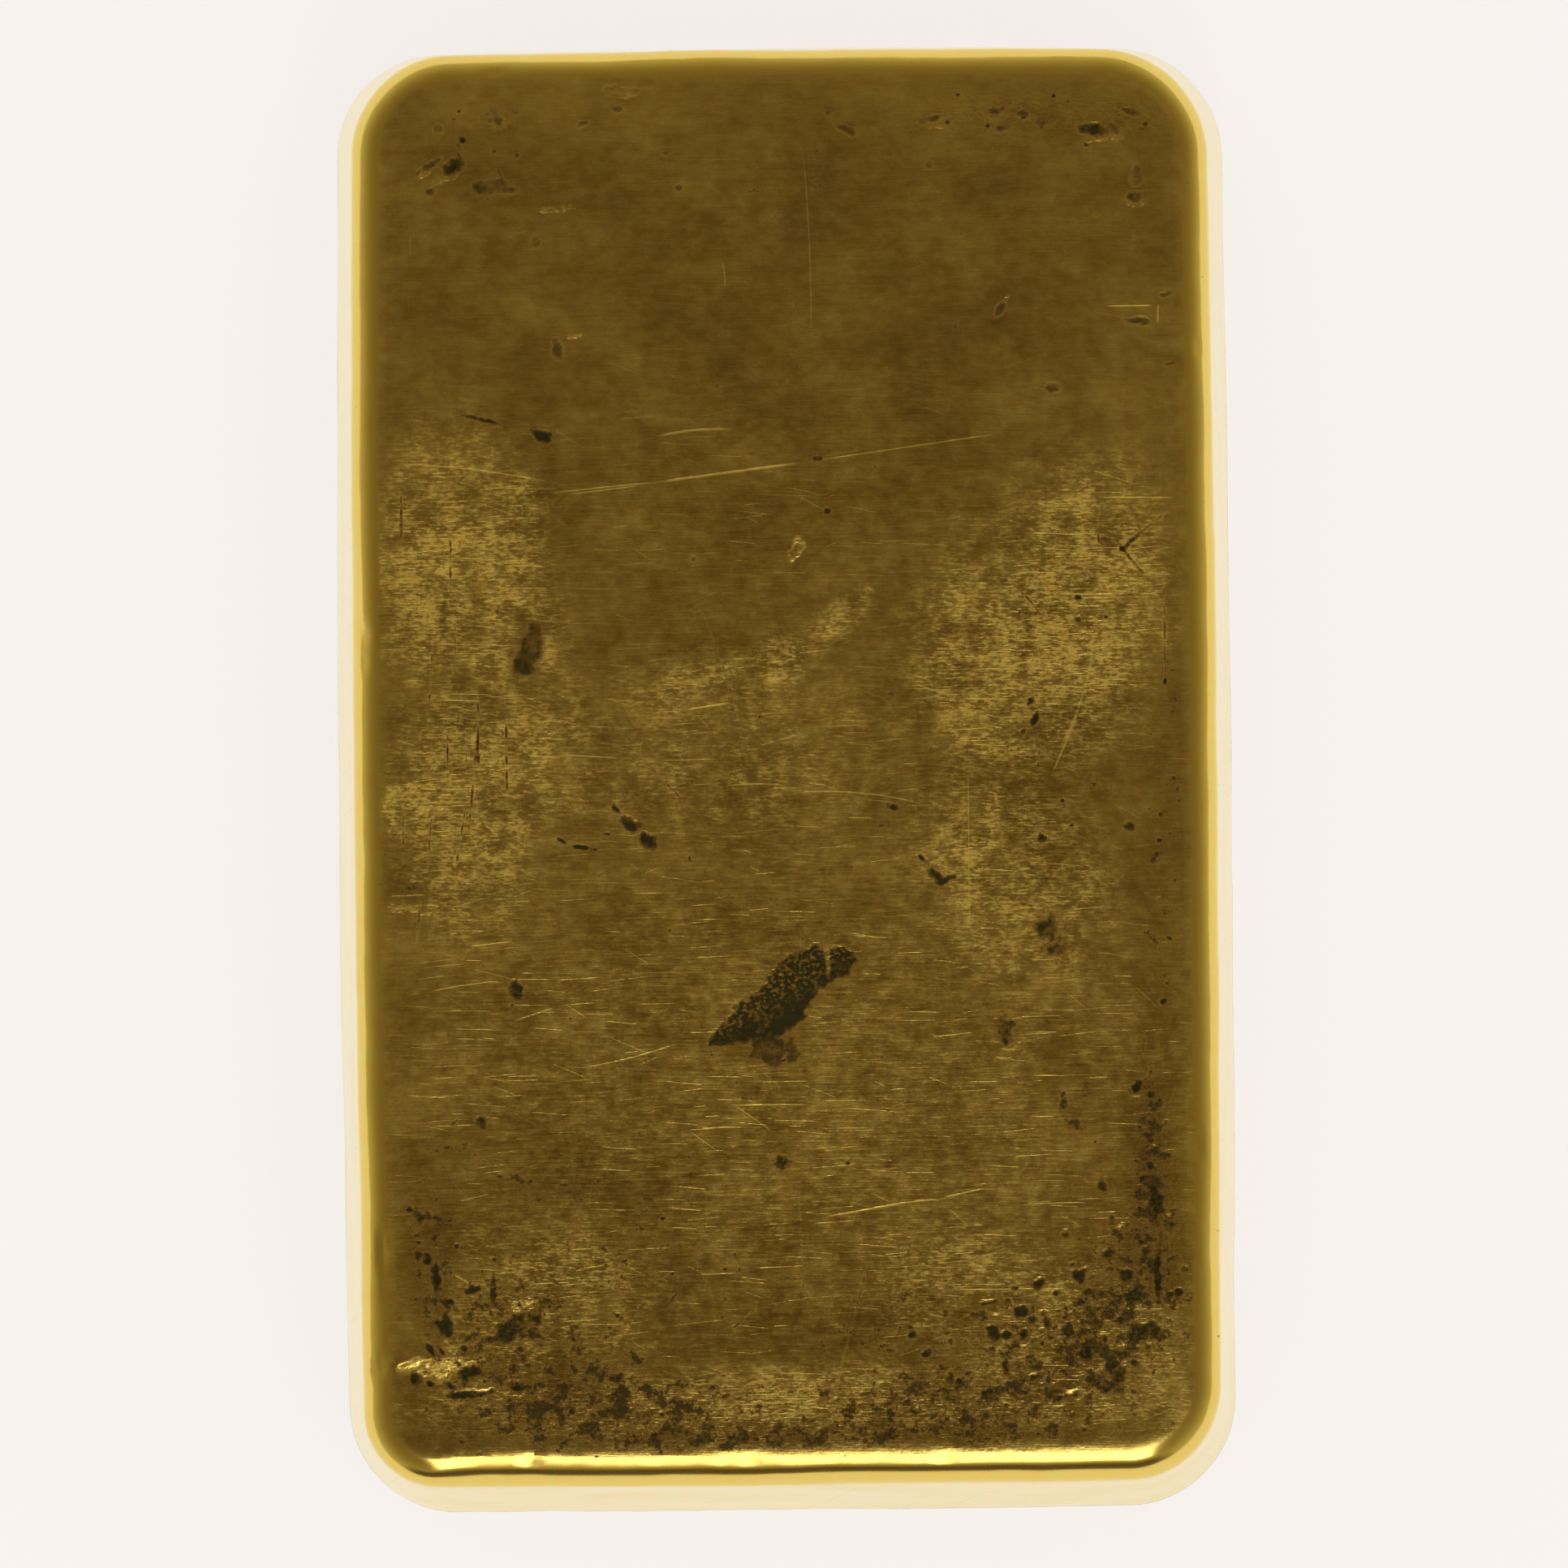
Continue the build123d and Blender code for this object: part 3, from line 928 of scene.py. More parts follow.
def casting_mesh(size):
    """The whole ingot as one closed mesh in metres."""
    bm = bmesh.new()
    around_layer = bm.verts.layers.float.new("around")
    down_layer = bm.verts.layers.float.new("down")
    stain_and_shade_layer = bm.verts.layers.float.new("stain_and_shade")
    crust_layer = bm.verts.layers.float.new("crust")
    worn_layer = bm.verts.layers.float.new("worn")
    scuffed_layer = bm.verts.layers.float.new("scuffed")
    film_and_shade_layer = bm.verts.layers.float.new("film_and_shade")
    face_layer = bm.verts.layers.float.new("face")
    scratch_layers = [
        bm.verts.layers.float_color.new(f"scratch_{i}") for i in range(scratch_channels)
    ]

    cell = size.cell / mm
    face_sizes = sizes_at(height - skin, edge_inset)
    under_cells_x = ceil(face_sizes[0] / cell)
    under_cells_y = ceil(face_sizes[1] / cell)
    add_grid(bm, face_sizes, height - skin, 2 * under_cells_x, 2 * under_cells_y, around_layer)
    rim = add_sides(bm, around_layer, down_layer)
    rows = side_rows()
    lip_end = rows[-1 - rim_rows][2]
    known = set(bm.edges)
    under_sizes = sizes_at(0, lip_inset + rim_width + 2 * cell)
    for vertex in add_grid(bm, under_sizes, 0, under_cells_x, under_cells_y, around_layer):
        vertex[down_layer] = under_mark
    under_border = [edge for edge in bm.edges if edge.is_boundary and edge not in known]
    # A bridge would twist here, as the two borders have different numbers of edges
    bmesh.ops.triangle_fill(bm, edges=rim + under_border, use_beauty=True, normal=(0, 0, -1))
    bmesh.ops.recalc_face_normals(bm, faces=bm.faces)

    pits = list(PITS) + small_pits()
    marks = pits + list(RINGS) + list(CRUSHED)
    refine_face(bm, down_layer, marks)
    wave_surfaces(bm, down_layer)
    face_vertices = [vertex for vertex in bm.verts if vertex[down_layer] == 0]
    near = Near(face_vertices)
    dent_edges(bm, down_layer)
    press_marks(near, pits, stain_and_shade_layer, crust_layer)
    lay_scratches(bm, near, scratch_layers)
    for vertex in face_vertices:
        x, y = vertex.co.x, vertex.co.y
        vertex[film_and_shade_layer] = field_strength(x, y, FILMS_AND_SHADE)
        vertex[crust_layer] = max(vertex[crust_layer], field_strength(x, y, CRUSTS))
        patchy = 0.80 + 0.6 * noise.noise(Vector((x * 0.6, y * 0.5, 8)))
        patchy += 0.7 * noise.noise(Vector((x * 1.5, y * 1.2, 4)))
        worn = field_strength(x, y, WORN)
        vertex[worn_layer] = worn * max(patchy, 0)
        vertex[scuffed_layer] = max(worn, field_strength(x, y, SCUFFED))
        vertex[face_layer] = 1
        vertex.co.z = min(vertex.co.z, height)
    for drop in DROPS:
        for vertex in near(drop[0], drop[1], max(drop[2], drop[3])):
            reach, _ = mark_place(vertex.co.x, vertex.co.y, drop)
            covered = ease((1.35 - reach) / 0.6)
            vertex[stain_and_shade_layer] = max(vertex[stain_and_shade_layer], covered * drop[5])
            vertex[worn_layer] *= 1 - 0.8 * covered
            vertex[scuffed_layer] *= 1 - 0.8 * covered
    for patch in CRUSHED:
        for vertex in near(patch[0], patch[1], max(patch[2], patch[3])):
            reach, _ = mark_place(vertex.co.x, vertex.co.y, patch)
            crushed = ease((1.2 - reach) / 0.3)
            southward = min(max((patch[1] - vertex.co.y) / patch[3] + 0.5, 0), 1)
            vertex.co.z -= patch[6] * crushed * southward
            vertex[worn_layer] = max(vertex[worn_layer], crushed * patch[5] * 0.6)
            vertex[crust_layer] = max(vertex[crust_layer], crushed * 0.6)
    sink_pour_face(bm, down_layer, lip_end)
    unwrap(bm, around_layer, down_layer, lip_end)
    bow_sides(bm)
    bmesh.ops.scale(bm, vec=(mm, mm, mm), verts=bm.verts)
    for face in bm.faces:
        face.smooth = True
    mesh = bpy.data.meshes.new("ingot_casting")
    bm.to_mesh(mesh)
    bm.free()
    print("triangles", sum(len(face.vertices) - 2 for face in mesh.polygons))
    return mesh


def linear(hex_colour):
    """An sRGB colour, written as in a picture editor, in the linear values that Blender uses."""
    channels = [int(hex_colour[i : i + 2], 16) / 255 for i in (1, 3, 5)]
    return [c / 12.92 if c <= 0.04045 else ((c + 0.055) / 1.055) ** 2.4 for c in channels]


def add_node(tree, kind, inputs=None, **settings):
    """Adds a shader node, sets it up, and links or fills its inputs.

    The kind is the node's type without ShaderNode. An input may be a node, a socket or a value.
    """
    made = tree.nodes.new("ShaderNode" + kind)
    for name, value in settings.items():
        setattr(made, name, value)
    for name, value in (inputs or {}).items():
        socket = made.inputs[name]
        if isinstance(value, bpy.types.Node):
            tree.links.new(value.outputs[0], socket)
        elif isinstance(value, bpy.types.NodeSocket):
            tree.links.new(value, socket)
        else:
            socket.default_value = value
    return made


def grain_texture(add, spot, size, detail, roughness=0.5):
    """A noise whose grains have a length and a breadth in millimetres."""
    stretch = (1 / size[0], 1 / size[1], 0)
    stretched = add("VectorMath", {0: spot, 1: stretch}, operation="MULTIPLY")
    looks = {"Vector": stretched, "Scale": 1.0, "Detail": detail, "Roughness": roughness}
    return add("TexNoise", looks, noise_dimensions="2D")


def carve_scratches(add, carved, cell, long, wide, turn, spread, share, seed, depth):
    """Carves short straight scratches, one in each cell of a random pattern, into a height.

    The height is the z of `carved`, whose x and y are a place on the face. Sizes are in
    millimetres and turns in degrees, and `share` is the share of cells that have a scratch.
    """
    grid = add(
        "VectorMath",
        {0: carved, 1: (1 / cell[0], 1 / cell[1], 0), 2: (seed, 2.3 * seed, 0)},
        operation="MULTIPLY_ADD",
    )
    cells = add("TexVoronoi", {"Vector": grid, "Scale": 1.0}, voronoi_dimensions="2D")
    away = add("VectorMath", {0: grid, 1: cells.outputs["Position"]}, operation="SUBTRACT")
    away_mm = add("VectorMath", {0: away, 1: (*cell, 0)}, operation="MULTIPLY")
    chance = add("SeparateColor", {0: cells.outputs["Color"]})
    angle = add(
        "MapRange",
        {
            "Value": chance.outputs[0],
            "To Min": radians(turn - spread),
            "To Max": radians(turn + spread),
        },
    )
    lined_up = add("VectorRotate", {"Vector": away_mm, "Angle": angle}, rotation_type="Z_AXIS")
    split = add("SeparateXYZ", {0: lined_up})
    along = add("Math", {0: split.outputs[0]}, operation="ABSOLUTE")
    across = add("Math", {0: split.outputs[1]}, operation="ABSOLUTE")
    reach = add(
        "Math", {0: chance.outputs[1], 1: long * 0.4, 2: long * 0.1}, operation="MULTIPLY_ADD"
    )
    run = add("Math", {0: along, 1: reach}, operation="DIVIDE")
    ends = add(
        "MapRange",
        {"Value": run, "From Min": 1.0, "From Max": 0.6},
        interpolation_type="SMOOTHSTEP",
    )
    groove = add(
        "MapRange",
        {"Value": across, "From Min": wide / 2, "From Max": 0.0},
        interpolation_type="SMOOTHSTEP",
    )
    strength = add("MapRange", {"Value": chance.outputs[2], "From Min": share, "From Max": 0.0})
    line = add("Math", {0: ends, 1: groove}, operation="MULTIPLY")
    lines = add("Math", {0: line, 1: strength}, operation="MULTIPLY")
    sunk = add("Math", {0: lines, 1: depth}, operation="MULTIPLY")
    down = add("CombineXYZ", {"Z": sunk})
    return add("VectorMath", {0: carved, 1: down}, operation="SUBTRACT")


def cast_fine_gold(finish):
    """Fine gold as cast: a soft satin mirror, scratched, and with stains where it has been handled; its
    pits and the upper part of its face also carry painted shade.
    """
    material = bpy.data.materials.new("cast fine gold")
    material.use_nodes = True
    tree = material.node_tree
    tree.nodes.clear()
    add = partial(add_node, tree)
    place = add("TexCoord").outputs["Object"]
    spot = add(
        "VectorMath",
        {0: place, 1: (1 / mm, 1 / mm, 1 / mm), 2: (71.3, 43.7, 0)},
        operation="MULTIPLY_ADD",
    )
    stain_and_shade, crust, worn, face, film_and_shade, scuffed = (
        add("Attribute", attribute_name=name).outputs["Fac"]
        for name in ("stain_and_shade", "crust", "worn", "face", "film_and_shade", "scuffed")
    )

    # Uneven tone: mottle 0.6 mm across, wiping 1.6 mm long and 0.06 mm wide, dashes 0.34 mm long and
    # 0.1 mm wide, both along the width, and patches 3.4 mm across
    tones = {}
    for name, size, detail in (
        ("mottle", (0.60, 0.45), 3.0),
        ("wiping", (1.60, 0.06), 2.0),
        ("dashes", (0.34, 0.10), 1.0),
        ("patches", (3.4, 2.6), 2.0),
    ):
        texture = grain_texture(add, spot, size, detail, 0.62)
        tones[name] = add("Math", {0: texture, 1: 0.5}, operation="SUBTRACT")
    amount = add("Math", {0: scuffed, 1: 0.8, 2: 0.2}, operation="MULTIPLY_ADD")
    relief = add("Math", {0: tones["mottle"], 1: mottle_relief}, operation="MULTIPLY")
    relief = add(
        "Math", {0: tones["wiping"], 1: wiping_relief, 2: relief}, operation="MULTIPLY_ADD"
    )
    grain = add("Math", {0: relief, 1: amount}, operation="MULTIPLY")

    # Flecks 0.7 mm across and less
    flecks = grain_texture(add, spot, (0.7, 0.6), 4.0, 0.75)

    # The long scratches, each known by how far across and along it a place is
    dirt_and_shade = stain_and_shade
    scored = 0.0
    for channel in range(scratch_channels):
        mark = add("Attribute", attribute_name=f"scratch_{channel}")
        split = add("SeparateColor", {0: mark.outputs["Color"]})
        across = add("Math", {0: split.outputs[0]}, operation="ABSOLUTE")
        groove = add(
            "MapRange",
            {"Value": across, "From Min": 1.0, "From Max": 0.0},
            interpolation_type="SMOOTHSTEP",
        )
        along = add("Math", {0: split.outputs[1]}, operation="ABSOLUTE")
        ends = add(
            "MapRange",
            {"Value": along, "From Min": 1.0, "From Max": 0.6},
            interpolation_type="SMOOTHSTEP",
        )
        line = add("Math", {0: groove, 1: ends}, operation="MULTIPLY")
        sunk = add("Math", {0: line, 1: split.outputs[2]}, operation="MULTIPLY")
        scored = add("Math", {0: scored, 1: sunk}, operation="SUBTRACT")
        dirt_and_shade = add("Math", {0: line, 1: mark.outputs["Alpha"], 2: dirt_and_shade}, operation="MULTIPLY_ADD")

    # Crust 0.16 mm across
    crumbs = grain_texture(add, spot, (0.16, 0.14), 1.0)
    crusty = add("Math", {0: crust, 1: crust_relief}, operation="MULTIPLY")
    grain = add("Math", {0: crumbs, 1: crusty, 2: grain}, operation="MULTIPLY_ADD")

    # Soot in marks and in films, both torn up by the flecks, and more so where the face is scuffed. In the
    # pits it is partly painted shade of the hollows, and in the films over the upper part of the face it
    # is painted shade.
    bare = add("Math", {0: film_and_shade, 1: -0.27, 2: 0.75}, operation="MULTIPLY_ADD")
    blotch_edge = add("Math", {0: bare, 1: 0.15}, operation="ADD")
    blotches = add(
        "MapRange",
        {"Value": flecks, "From Min": bare, "From Max": blotch_edge, "To Max": blotch_soot_and_shade},
    )
    torn = add("Math", {0: flecks, 1: 2.1, 2: -1.05}, operation="MULTIPLY_ADD")
    torn_more = add("Math", {0: amount, 1: 0.8, 2: 0.2}, operation="MULTIPLY_ADD")
    torn = add("Math", {0: torn, 1: torn_more}, operation="MULTIPLY")
    soiled_and_shaded = add("Math", {0: dirt_and_shade, 1: torn}, operation="ADD")
    marked = add("MapRange", {"Value": soiled_and_shaded, "From Min": soot_and_shade_start, "From Max": soot_and_shade_full})
    sooty_and_shaded = add("Math", {0: marked, 1: blotches}, operation="MAXIMUM")
    rubbed = add("MapRange", {"Value": crumbs, "From Min": 0.48, "From Max": 0.62})
    rubbed_crust = add("Math", {0: rubbed, 1: crust}, operation="MULTIPLY")
    left_over = add("Math", {0: rubbed_crust, 1: -0.55, 2: 1.0}, operation="MULTIPLY_ADD")
    stained_and_shaded = add("Math", {0: sooty_and_shaded, 1: left_over}, operation="MULTIPLY")

    # Short scratches, from small and dense to long and rare
    flat_place = add("VectorMath", {0: spot, 1: (1, 1, 0)}, operation="MULTIPLY")
    lifted = add("CombineXYZ", {"Z": scored})
    carved = add("VectorMath", {0: flat_place, 1: lifted}, operation="ADD")
    worn_depth = add("Math", {0: worn, 1: worn_scratch}, operation="MULTIPLY")
    fine_depth = add("Math", {0: amount, 1: fine_scratch}, operation="MULTIPLY")
    carved = carve_scratches(add, carved, (0.46, 0.14), 0.50, 0.070, 4, 14, 1.0, 1.7, worn_depth)
    carved = carve_scratches(add, carved, (2.2, 0.17), 2.1, 0.040, 0, 7, 0.55, 3.1, fine_depth)
    carved = carve_scratches(add, carved, (2.1, 0.8), 2.0, 0.045, 10, 35, 0.5, 8.3, fine_depth)
    score = add("SeparateXYZ", {0: carved}).outputs[2]
    scored_grain = add("Math", {0: score, 1: scratch_share, 2: grain}, operation="MULTIPLY_ADD")
    face_height = add("Math", {0: scored_grain, 1: face}, operation="MULTIPLY")
    bump = add("Bump", {"Strength": 1.0, "Distance": mm, "Height": face_height})

    # Tarnish that turns the gold slightly redder or greener in patches
    coolness = add("Math", {0: tones["mottle"], 1: 2.5, 2: 0.5}, operation="MULTIPLY_ADD")
    golds = {0: coolness, 6: (*finish.red_gold, 1), 7: (*finish.green_gold, 1)}
    gold = add("Mix", golds, data_type="RGBA")

    # Grime darkens it in streaks, dashes and patches, and the film fields darken it more, over the upper
    # part as painted shade
    streaks = add("Math", {0: tones["wiping"], 1: 0.60}, operation="MULTIPLY")
    streaks = add("Math", {0: flecks, 1: 0.8, 2: streaks}, operation="MULTIPLY_ADD")
    streaks = add("Math", {0: streaks, 1: -0.40}, operation="ADD")
    streaks = add("Math", {0: streaks, 1: amount}, operation="MULTIPLY")
    dashed = add("Math", {0: amount, 1: 0.20}, operation="MULTIPLY")
    streaks = add("Math", {0: tones["dashes"], 1: dashed, 2: streaks}, operation="MULTIPLY_ADD")
    tone = add("Math", {0: tones["mottle"], 1: 0.3, 2: streaks}, operation="MULTIPLY_ADD")
    tone = add("Math", {0: tones["patches"], 1: 0.45, 2: tone}, operation="MULTIPLY_ADD")
    tone = add("Math", {0: film_and_shade, 1: -0.13, 2: tone}, operation="MULTIPLY_ADD")
    tone = add("Math", {0: tone, 1: face}, operation="MULTIPLY")
    cleanness = add("MapRange", {"Value": tone, "From Min": -0.5, "From Max": 0.15})
    grimy = add("Mix", {0: cleanness, 6: (*finish.grime, 1), 7: gold.outputs[2]}, data_type="RGBA")
    # Soot, and the painted shade in the pits and over the upper part of the face, takes the gold's colour
    # away by degrees, reddish where it's thin and greenish where it's thick
    soot_and_shade = add(
        "Mix", {0: stained_and_shaded, 6: (*finish.red_soot_and_shade, 1), 7: (*finish.green_soot_and_shade, 1)}, data_type="RGBA"
    )
    veil = add("Gamma", {"Color": soot_and_shade.outputs[2], "Gamma": stained_and_shaded})
    colour = add(
        "Mix", {0: 1.0, 6: grimy.outputs[2], 7: veil}, data_type="RGBA", blend_type="MULTIPLY"
    )
    metallic = add("MapRange", {"Value": stained_and_shaded, "To Min": 1.0, "To Max": 0.25})
    satin = add(
        "MapRange",
        {"Value": face, "To Min": finish.edge_roughness, "To Max": finish.face_roughness},
    )
    duller = add("Math", {0: stained_and_shaded, 1: 0.30, 2: satin}, operation="MULTIPLY_ADD")
    sparks = add("Math", {0: tones["dashes"], 1: 0.8, 2: flecks}, operation="MULTIPLY_ADD")
    sparks = add("Math", {0: crumbs, 1: 0.4, 2: sparks}, operation="MULTIPLY_ADD")
    glints = add(
        "MapRange",
        {"Value": sparks, "From Min": 0.60, "From Max": 1.00, "To Min": 0.3, "To Max": 2.0},
    )
    sparkle = add("Math", {0: glints, 1: worn}, operation="MULTIPLY")
    worn_duller = add("Math", {0: sparkle, 1: 0.20, 2: duller}, operation="MULTIPLY_ADD")
    toned = add("Math", {0: tone, 1: 0.25, 2: worn_duller}, operation="MULTIPLY_ADD")
    # A scratch is itself scored by finer ones, so it scatters the light
    ragged = add("MapRange", {"Value": score, "From Max": -0.006, "To Max": 0.26})
    roughness = add("Math", {0: ragged, 1: toned}, operation="ADD")
    surface = add(
        "BsdfPrincipled",
        {
            "Base Color": colour.outputs[2],
            "Metallic": metallic,
            "Roughness": roughness,
            "Normal": bump,
            "Specular IOR Level": 0.1,
            "Specular Tint": (1.0, 1.0, 0.93, 1.0),
        },
    )
    add("OutputMaterial", {"Surface": surface})
    return material


def white_table(stage):
    """A white sheet lit from all round: as white to the camera and in the gold as in the picture."""
    material = bpy.data.materials.new("white paper")
    material.use_nodes = True
    material.cycles.emission_sampling = "NONE"
    tree = material.node_tree
    tree.nodes.clear()
    add = partial(add_node, tree)
    path = add("LightPath").outputs
    mirrored = add(
        "Math", {0: path["Is Glossy Ray"], 1: path["Is Transmission Ray"]}, operation="MAXIMUM"
    )
    seen = add("Math", {0: path["Is Camera Ray"], 1: 0.85}, operation="MULTIPLY")
    share = add("Math", {0: seen, 1: mirrored}, operation="MAXIMUM")
    paper = (*stage.table, 1)
    dull = add("BsdfDiffuse", {"Color": paper})
    lit = add("Mix", {0: mirrored, 6: paper, 7: (1, 0.98, 0.95, 1)}, data_type="RGBA")
    bright = add("Emission", {"Color": lit.outputs[2], "Strength": 1.0})
    mixed = add("MixShader", {0: share, 1: dull, 2: bright})
    add("OutputMaterial", {"Surface": mixed})
    return material


def add_table(stage):
    """The white sheet that the ingot lies on."""
    bm = bmesh.new()
    bmesh.ops.create_grid(bm, x_segments=1, y_segments=1, size=1.5)
    bmesh.ops.translate(bm, verts=bm.verts, vec=(0, 0, -0.01 * mm))
    mesh = bpy.data.meshes.new("table")
    bm.to_mesh(mesh)
    bm.free()
    mesh.materials.append(white_table(stage))
    table = bpy.data.objects.new("table", mesh)
    bpy.context.scene.collection.objects.link(table)


def set_room_light():
    """The room as the gold mirrors it: dark overhead, pale low down, and dark low on the south side."""
    world = bpy.data.worlds.new("room")
    bpy.context.scene.world = world
    world.use_nodes = True
    world.cycles.sampling_method = "NONE"
    tree = world.node_tree
    tree.nodes.clear()
    add = partial(add_node, tree)
    towards = add("SeparateXYZ", {0: add("TexCoord").outputs["Generated"]})
    upward = towards.outputs[2]
    ramp = add("ValToRGB", {0: upward})
    for position in (0.26, 0.44, 0.62, 0.85, 0.965, 0.99):
        ramp.color_ramp.elements.new(position)
    levels = (
        (0.57, 0.54, 0.36), (0.46, 0.43, 0.25), (0.37, 0.33, 0.18), (0.29, 0.25, 0.12),
        (0.225, 0.178, 0.085), (0.205, 0.160, 0.080), (0.170, 0.128, 0.068), (0.093, 0.0645, 0.037),
    )
    for element, level in zip(ramp.color_ramp.elements, levels):
        element.color = (*level, 1)
    south = add("MapRange", {"Value": towards.outputs[1], "From Min": -0.78, "From Max": -0.9})
    lowness = add("MapRange", {"Value": upward, "From Min": 0.45, "From Max": 0.35})
    dark = add("Math", {0: south, 1: lowness}, operation="MULTIPLY")
    room = add("Mix", {0: dark, 6: ramp, 7: (0.10, 0.075, 0.04, 1)}, data_type="RGBA")
    path = add("LightPath").outputs
    plain = add(
        "Mix",
        {0: path["Is Diffuse Ray"], 6: room.outputs[2], 7: (0.75, 0.75, 0.75, 1)},
        data_type="RGBA",
    )
    light = add("Background", {"Color": plain.outputs[2], "Strength": 1.0})
    add("OutputWorld", {"Surface": light})


def add_softbox(name, azimuth, tilt, distance, wide, tall, radiance):
    """A rectangular lamp at a turn from the south, eastward, and a tilt from overhead."""
    lamp = bpy.data.lights.new(name, "AREA")
    lamp.shape = "RECTANGLE"
    lamp.size = wide
    lamp.size_y = tall
    lamp.energy = radiance * pi * wide * tall
    holder = bpy.data.objects.new(name, lamp)
    side = Vector((sin(azimuth), -cos(azimuth), 0))
    holder.location = distance * (side * sin(tilt) + Vector((0, 0, cos(tilt))))
    holder.rotation_euler = holder.location.to_track_quat("Z", "Y").to_euler()
    bpy.context.scene.collection.objects.link(holder)


def add_camera(stage):
    """Looks down at the ingot as the photograph does, a little from the south and slightly turned."""
    picture = 1932
    lens = bpy.data.cameras.new("camera")
    lens.sensor_width = 36
    lens.lens = 36 * stage.distance / stage.view_width
    lens.clip_start = 0.01
    lens.clip_end = 10
    camera = bpy.data.objects.new("camera", lens)
    scene = bpy.context.scene
    scene.collection.objects.link(camera)
    scene.camera = camera
    # The middle of the ingot's base lies this many of the picture's pixels right of and above its middle
    right_pixels = 1.5
    up_pixels = 5.0
    pixel = stage.view_width / picture
    up = Vector((sin(stage.roll), cos(stage.roll), 0))
    right = Vector((cos(stage.roll), -sin(stage.roll), 0))
    aim = -right * right_pixels * pixel - up * up_pixels * pixel
    back = Vector((0, 0, cos(stage.tilt))) - up * sin(stage.tilt)
    above = back.cross(right)
    turn = Matrix((right, above, back)).transposed()
    camera.matrix_world = Matrix.Translation(aim + back * stage.distance) @ turn.to_4x4()


def colour_setting(name, description, hex_colour):
    """A colour that the sidebar shows, given in sRGB."""
    return bpy.props.FloatVectorProperty(
        name=name,
        description=description,
        subtype="COLOR",
        default=linear(hex_colour),
        min=0,
        max=1,
    )


class IngotSize(bpy.types.PropertyGroup):
    """Sizes of the casting's mesh."""

    cell: bpy.props.FloatProperty(
        name="Grid cell",
        description="Side of the squares that the mould face is made of, before small marks divide them",
        default=0.27 * mm,
        min=0.1 * mm,
        max=2 * mm,
        unit="LENGTH",
        precision=5,
    )


class GoldFinish(bpy.types.PropertyGroup):
    """Colours and gloss of the gold."""

    red_gold: colour_setting("Redder gold", "Colour of the gold where tarnish is warm", "#F7D16A")
    green_gold: colour_setting(
        "Greener gold", "Colour of the gold where tarnish is cool", "#F1D773"
    )
    grime: colour_setting("Grime", "Colour of the gold under its heaviest grime", "#A28646")
    green_soot_and_shade: colour_setting(
        "Thick soot", "Colour that the gold has seen through thick soot", "#323322"
    )
    red_soot_and_shade: colour_setting("Thin soot", "Colour that thin soot is on its way to", "#44271A")
    face_roughness: bpy.props.FloatProperty(
        name="Face roughness", description="Roughness of the mould face", default=0.19, min=0, max=1
    )
    edge_roughness: bpy.props.FloatProperty(
        name="Edge roughness", description="Roughness of the edges and walls", default=0.17, min=0, max=1
    )


class IngotStage(bpy.types.PropertyGroup):
    """The table, lamps and camera."""

    table: colour_setting("Table colour", "Colour of the sheet under the ingot", "#FAF5F2")
    softbox: bpy.props.FloatProperty(
        name="Softbox level", description="Radiance of the lamp over the south end", default=2.8, min=0
    )
    distance: bpy.props.FloatProperty(
        name="Camera distance", description="From the table to the camera", default=1.4, unit="LENGTH"
    )
    view_width: bpy.props.FloatProperty(
        name="View width", description="Width of table in view", default=53.52 * mm, unit="LENGTH"
    )
    tilt: bpy.props.FloatProperty(
        name="Camera tilt",
        description="How far the camera stands from straight above, towards the south end",
        default=radians(3.3),
        subtype="ANGLE",
    )
    roll: bpy.props.FloatProperty(
        name="Camera roll",
        description="How far the camera is turned clockwise from the ingot's length",
        default=radians(0.58),
        subtype="ANGLE",
    )


class INGOT_OT_set_stage(bpy.types.Operator):
    """Lays the table, lights it and sets the camera"""

    bl_idname = "ingot.set_stage"
    bl_label = "Set stage"

    def execute(self, context):
        stage = context.scene.ingot_stage
        add_table(stage)
        set_room_light()
        add_softbox("softbox", radians(12), radians(36), 0.6, 0.20, 0.46, stage.softbox)
        add_camera(stage)
        return {"FINISHED"}


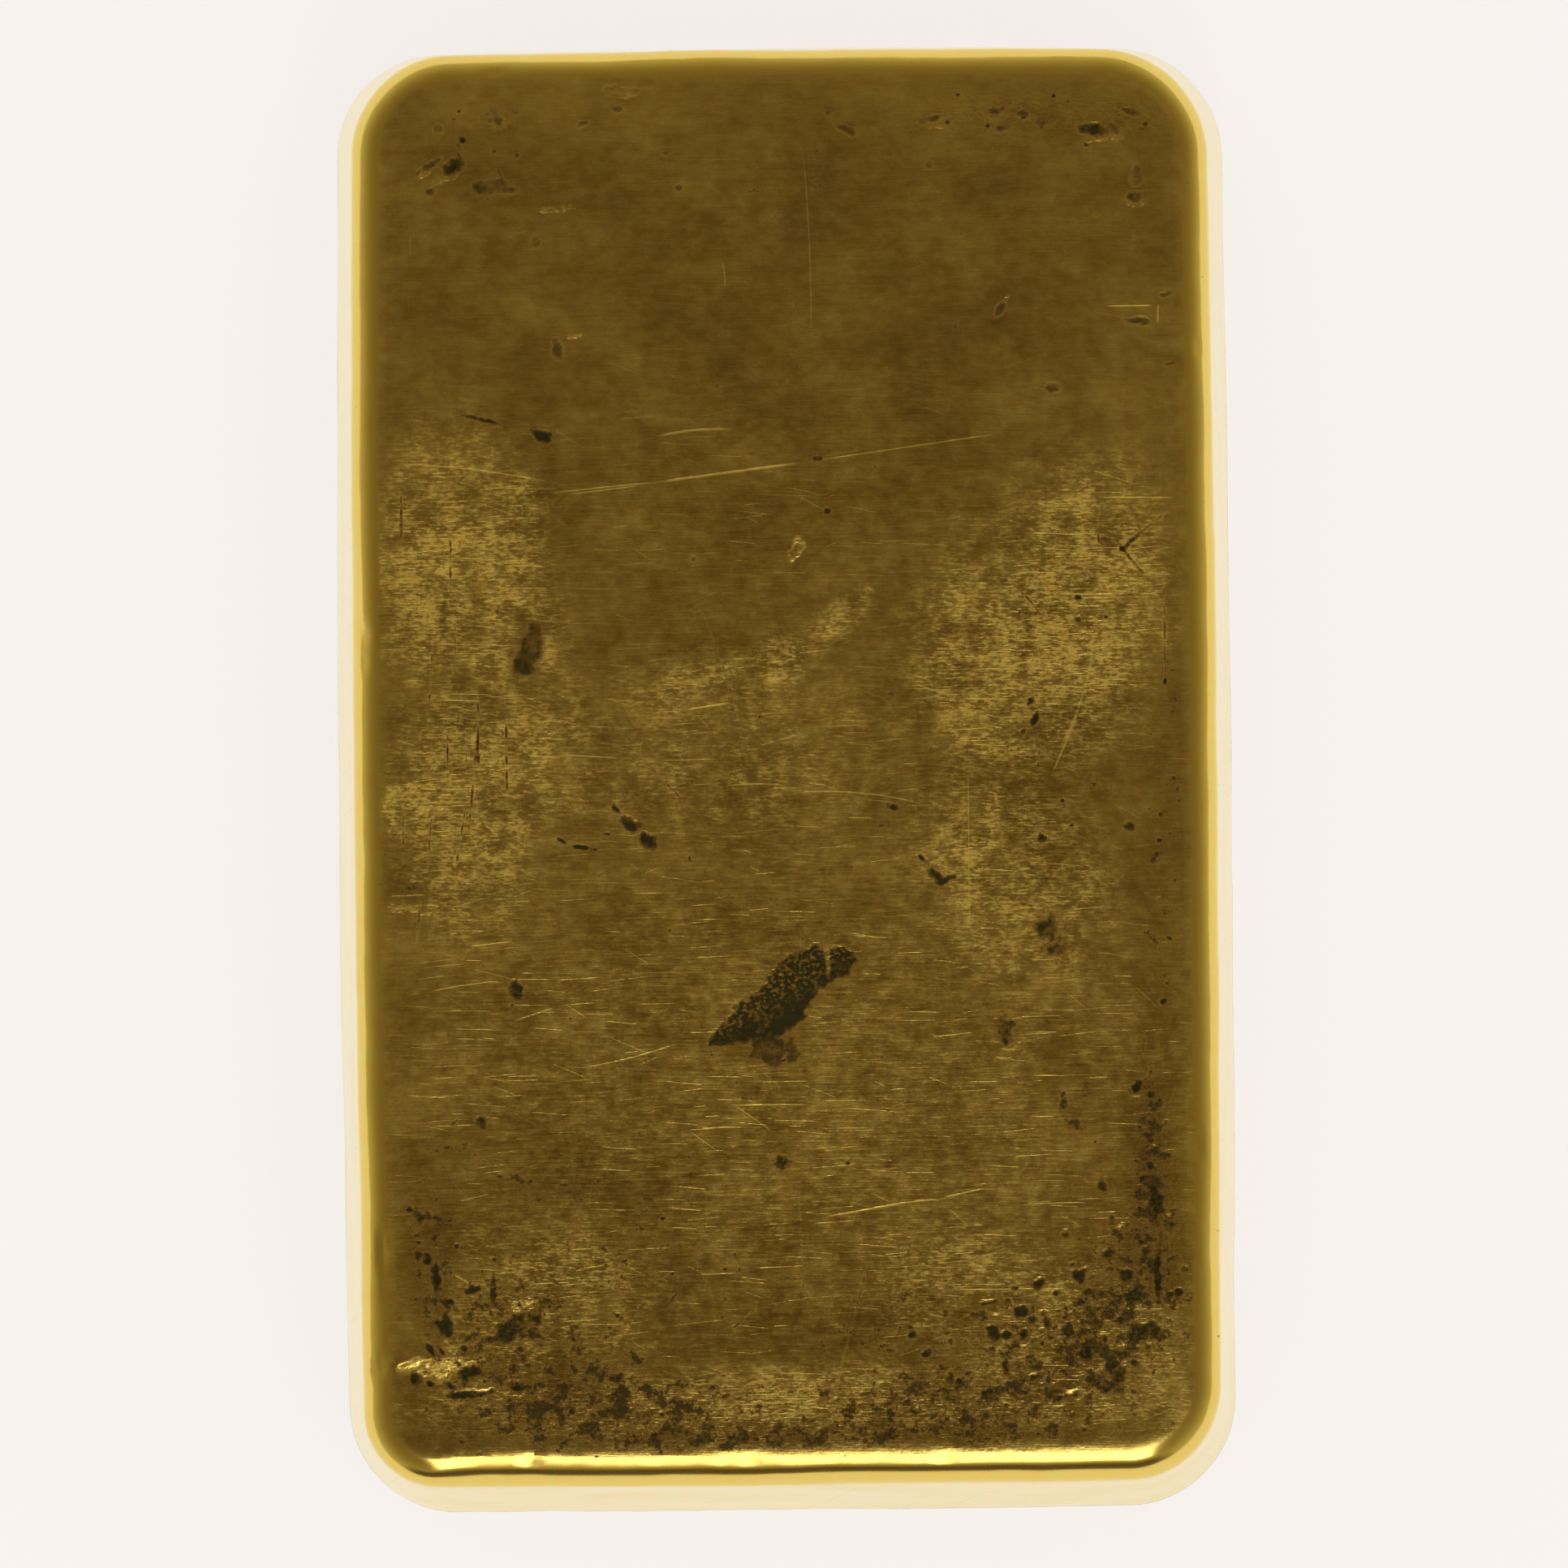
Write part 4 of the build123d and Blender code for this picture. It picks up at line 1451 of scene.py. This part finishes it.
class INGOT_OT_add_casting(bpy.types.Operator):
    """Adds the cast ingot"""

    bl_idname = "ingot.add_casting"
    bl_label = "Add casting"

    def execute(self, context):
        mesh = casting_mesh(context.scene.ingot_size)
        mesh.materials.append(cast_fine_gold(context.scene.ingot_finish))
        casting = bpy.data.objects.new("ingot_casting", mesh)
        context.scene.collection.objects.link(casting)
        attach(casting, "root")
        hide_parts("ingot")
        return {"FINISHED"}


class INGOT_PT_panel(bpy.types.Panel):
    """Lists the ingot's operators and settings"""

    bl_label = "Cast ingot"
    bl_idname = "INGOT_PT_panel"
    bl_space_type = "VIEW_3D"
    bl_region_type = "UI"
    bl_category = "Ingot"

    def draw(self, context):
        layout = self.layout
        layout.operator(INGOT_OT_set_stage.bl_idname)
        for name in ("table", "softbox", "distance", "view_width", "tilt", "roll"):
            layout.prop(context.scene.ingot_stage, name)
        layout.operator(INGOT_OT_add_casting.bl_idname)
        layout.prop(context.scene.ingot_size, "cell")
        for name in ("red_gold", "green_gold", "grime", "green_soot_and_shade", "red_soot_and_shade"):
            layout.prop(context.scene.ingot_finish, name)
        for name in ("face_roughness", "edge_roughness"):
            layout.prop(context.scene.ingot_finish, name)


classes = (
    IngotSize, GoldFinish, IngotStage, INGOT_OT_set_stage, INGOT_OT_add_casting, INGOT_PT_panel
)


def register():
    for kind in classes:
        bpy.utils.register_class(kind)
    bpy.types.Scene.ingot_size = bpy.props.PointerProperty(type=IngotSize)
    bpy.types.Scene.ingot_finish = bpy.props.PointerProperty(type=GoldFinish)
    bpy.types.Scene.ingot_stage = bpy.props.PointerProperty(type=IngotStage)


def unregister():
    del bpy.types.Scene.ingot_stage
    del bpy.types.Scene.ingot_finish
    del bpy.types.Scene.ingot_size
    for kind in reversed(classes):
        bpy.utils.unregister_class(kind)


def main():
    """Builds the stage and the ingot."""
    register()
    bpy.context.scene.view_settings.view_transform = "Standard"
    bpy.ops.ingot.set_stage()
    bpy.ops.ingot.add_casting()


if __name__ == "__main__":
    main()
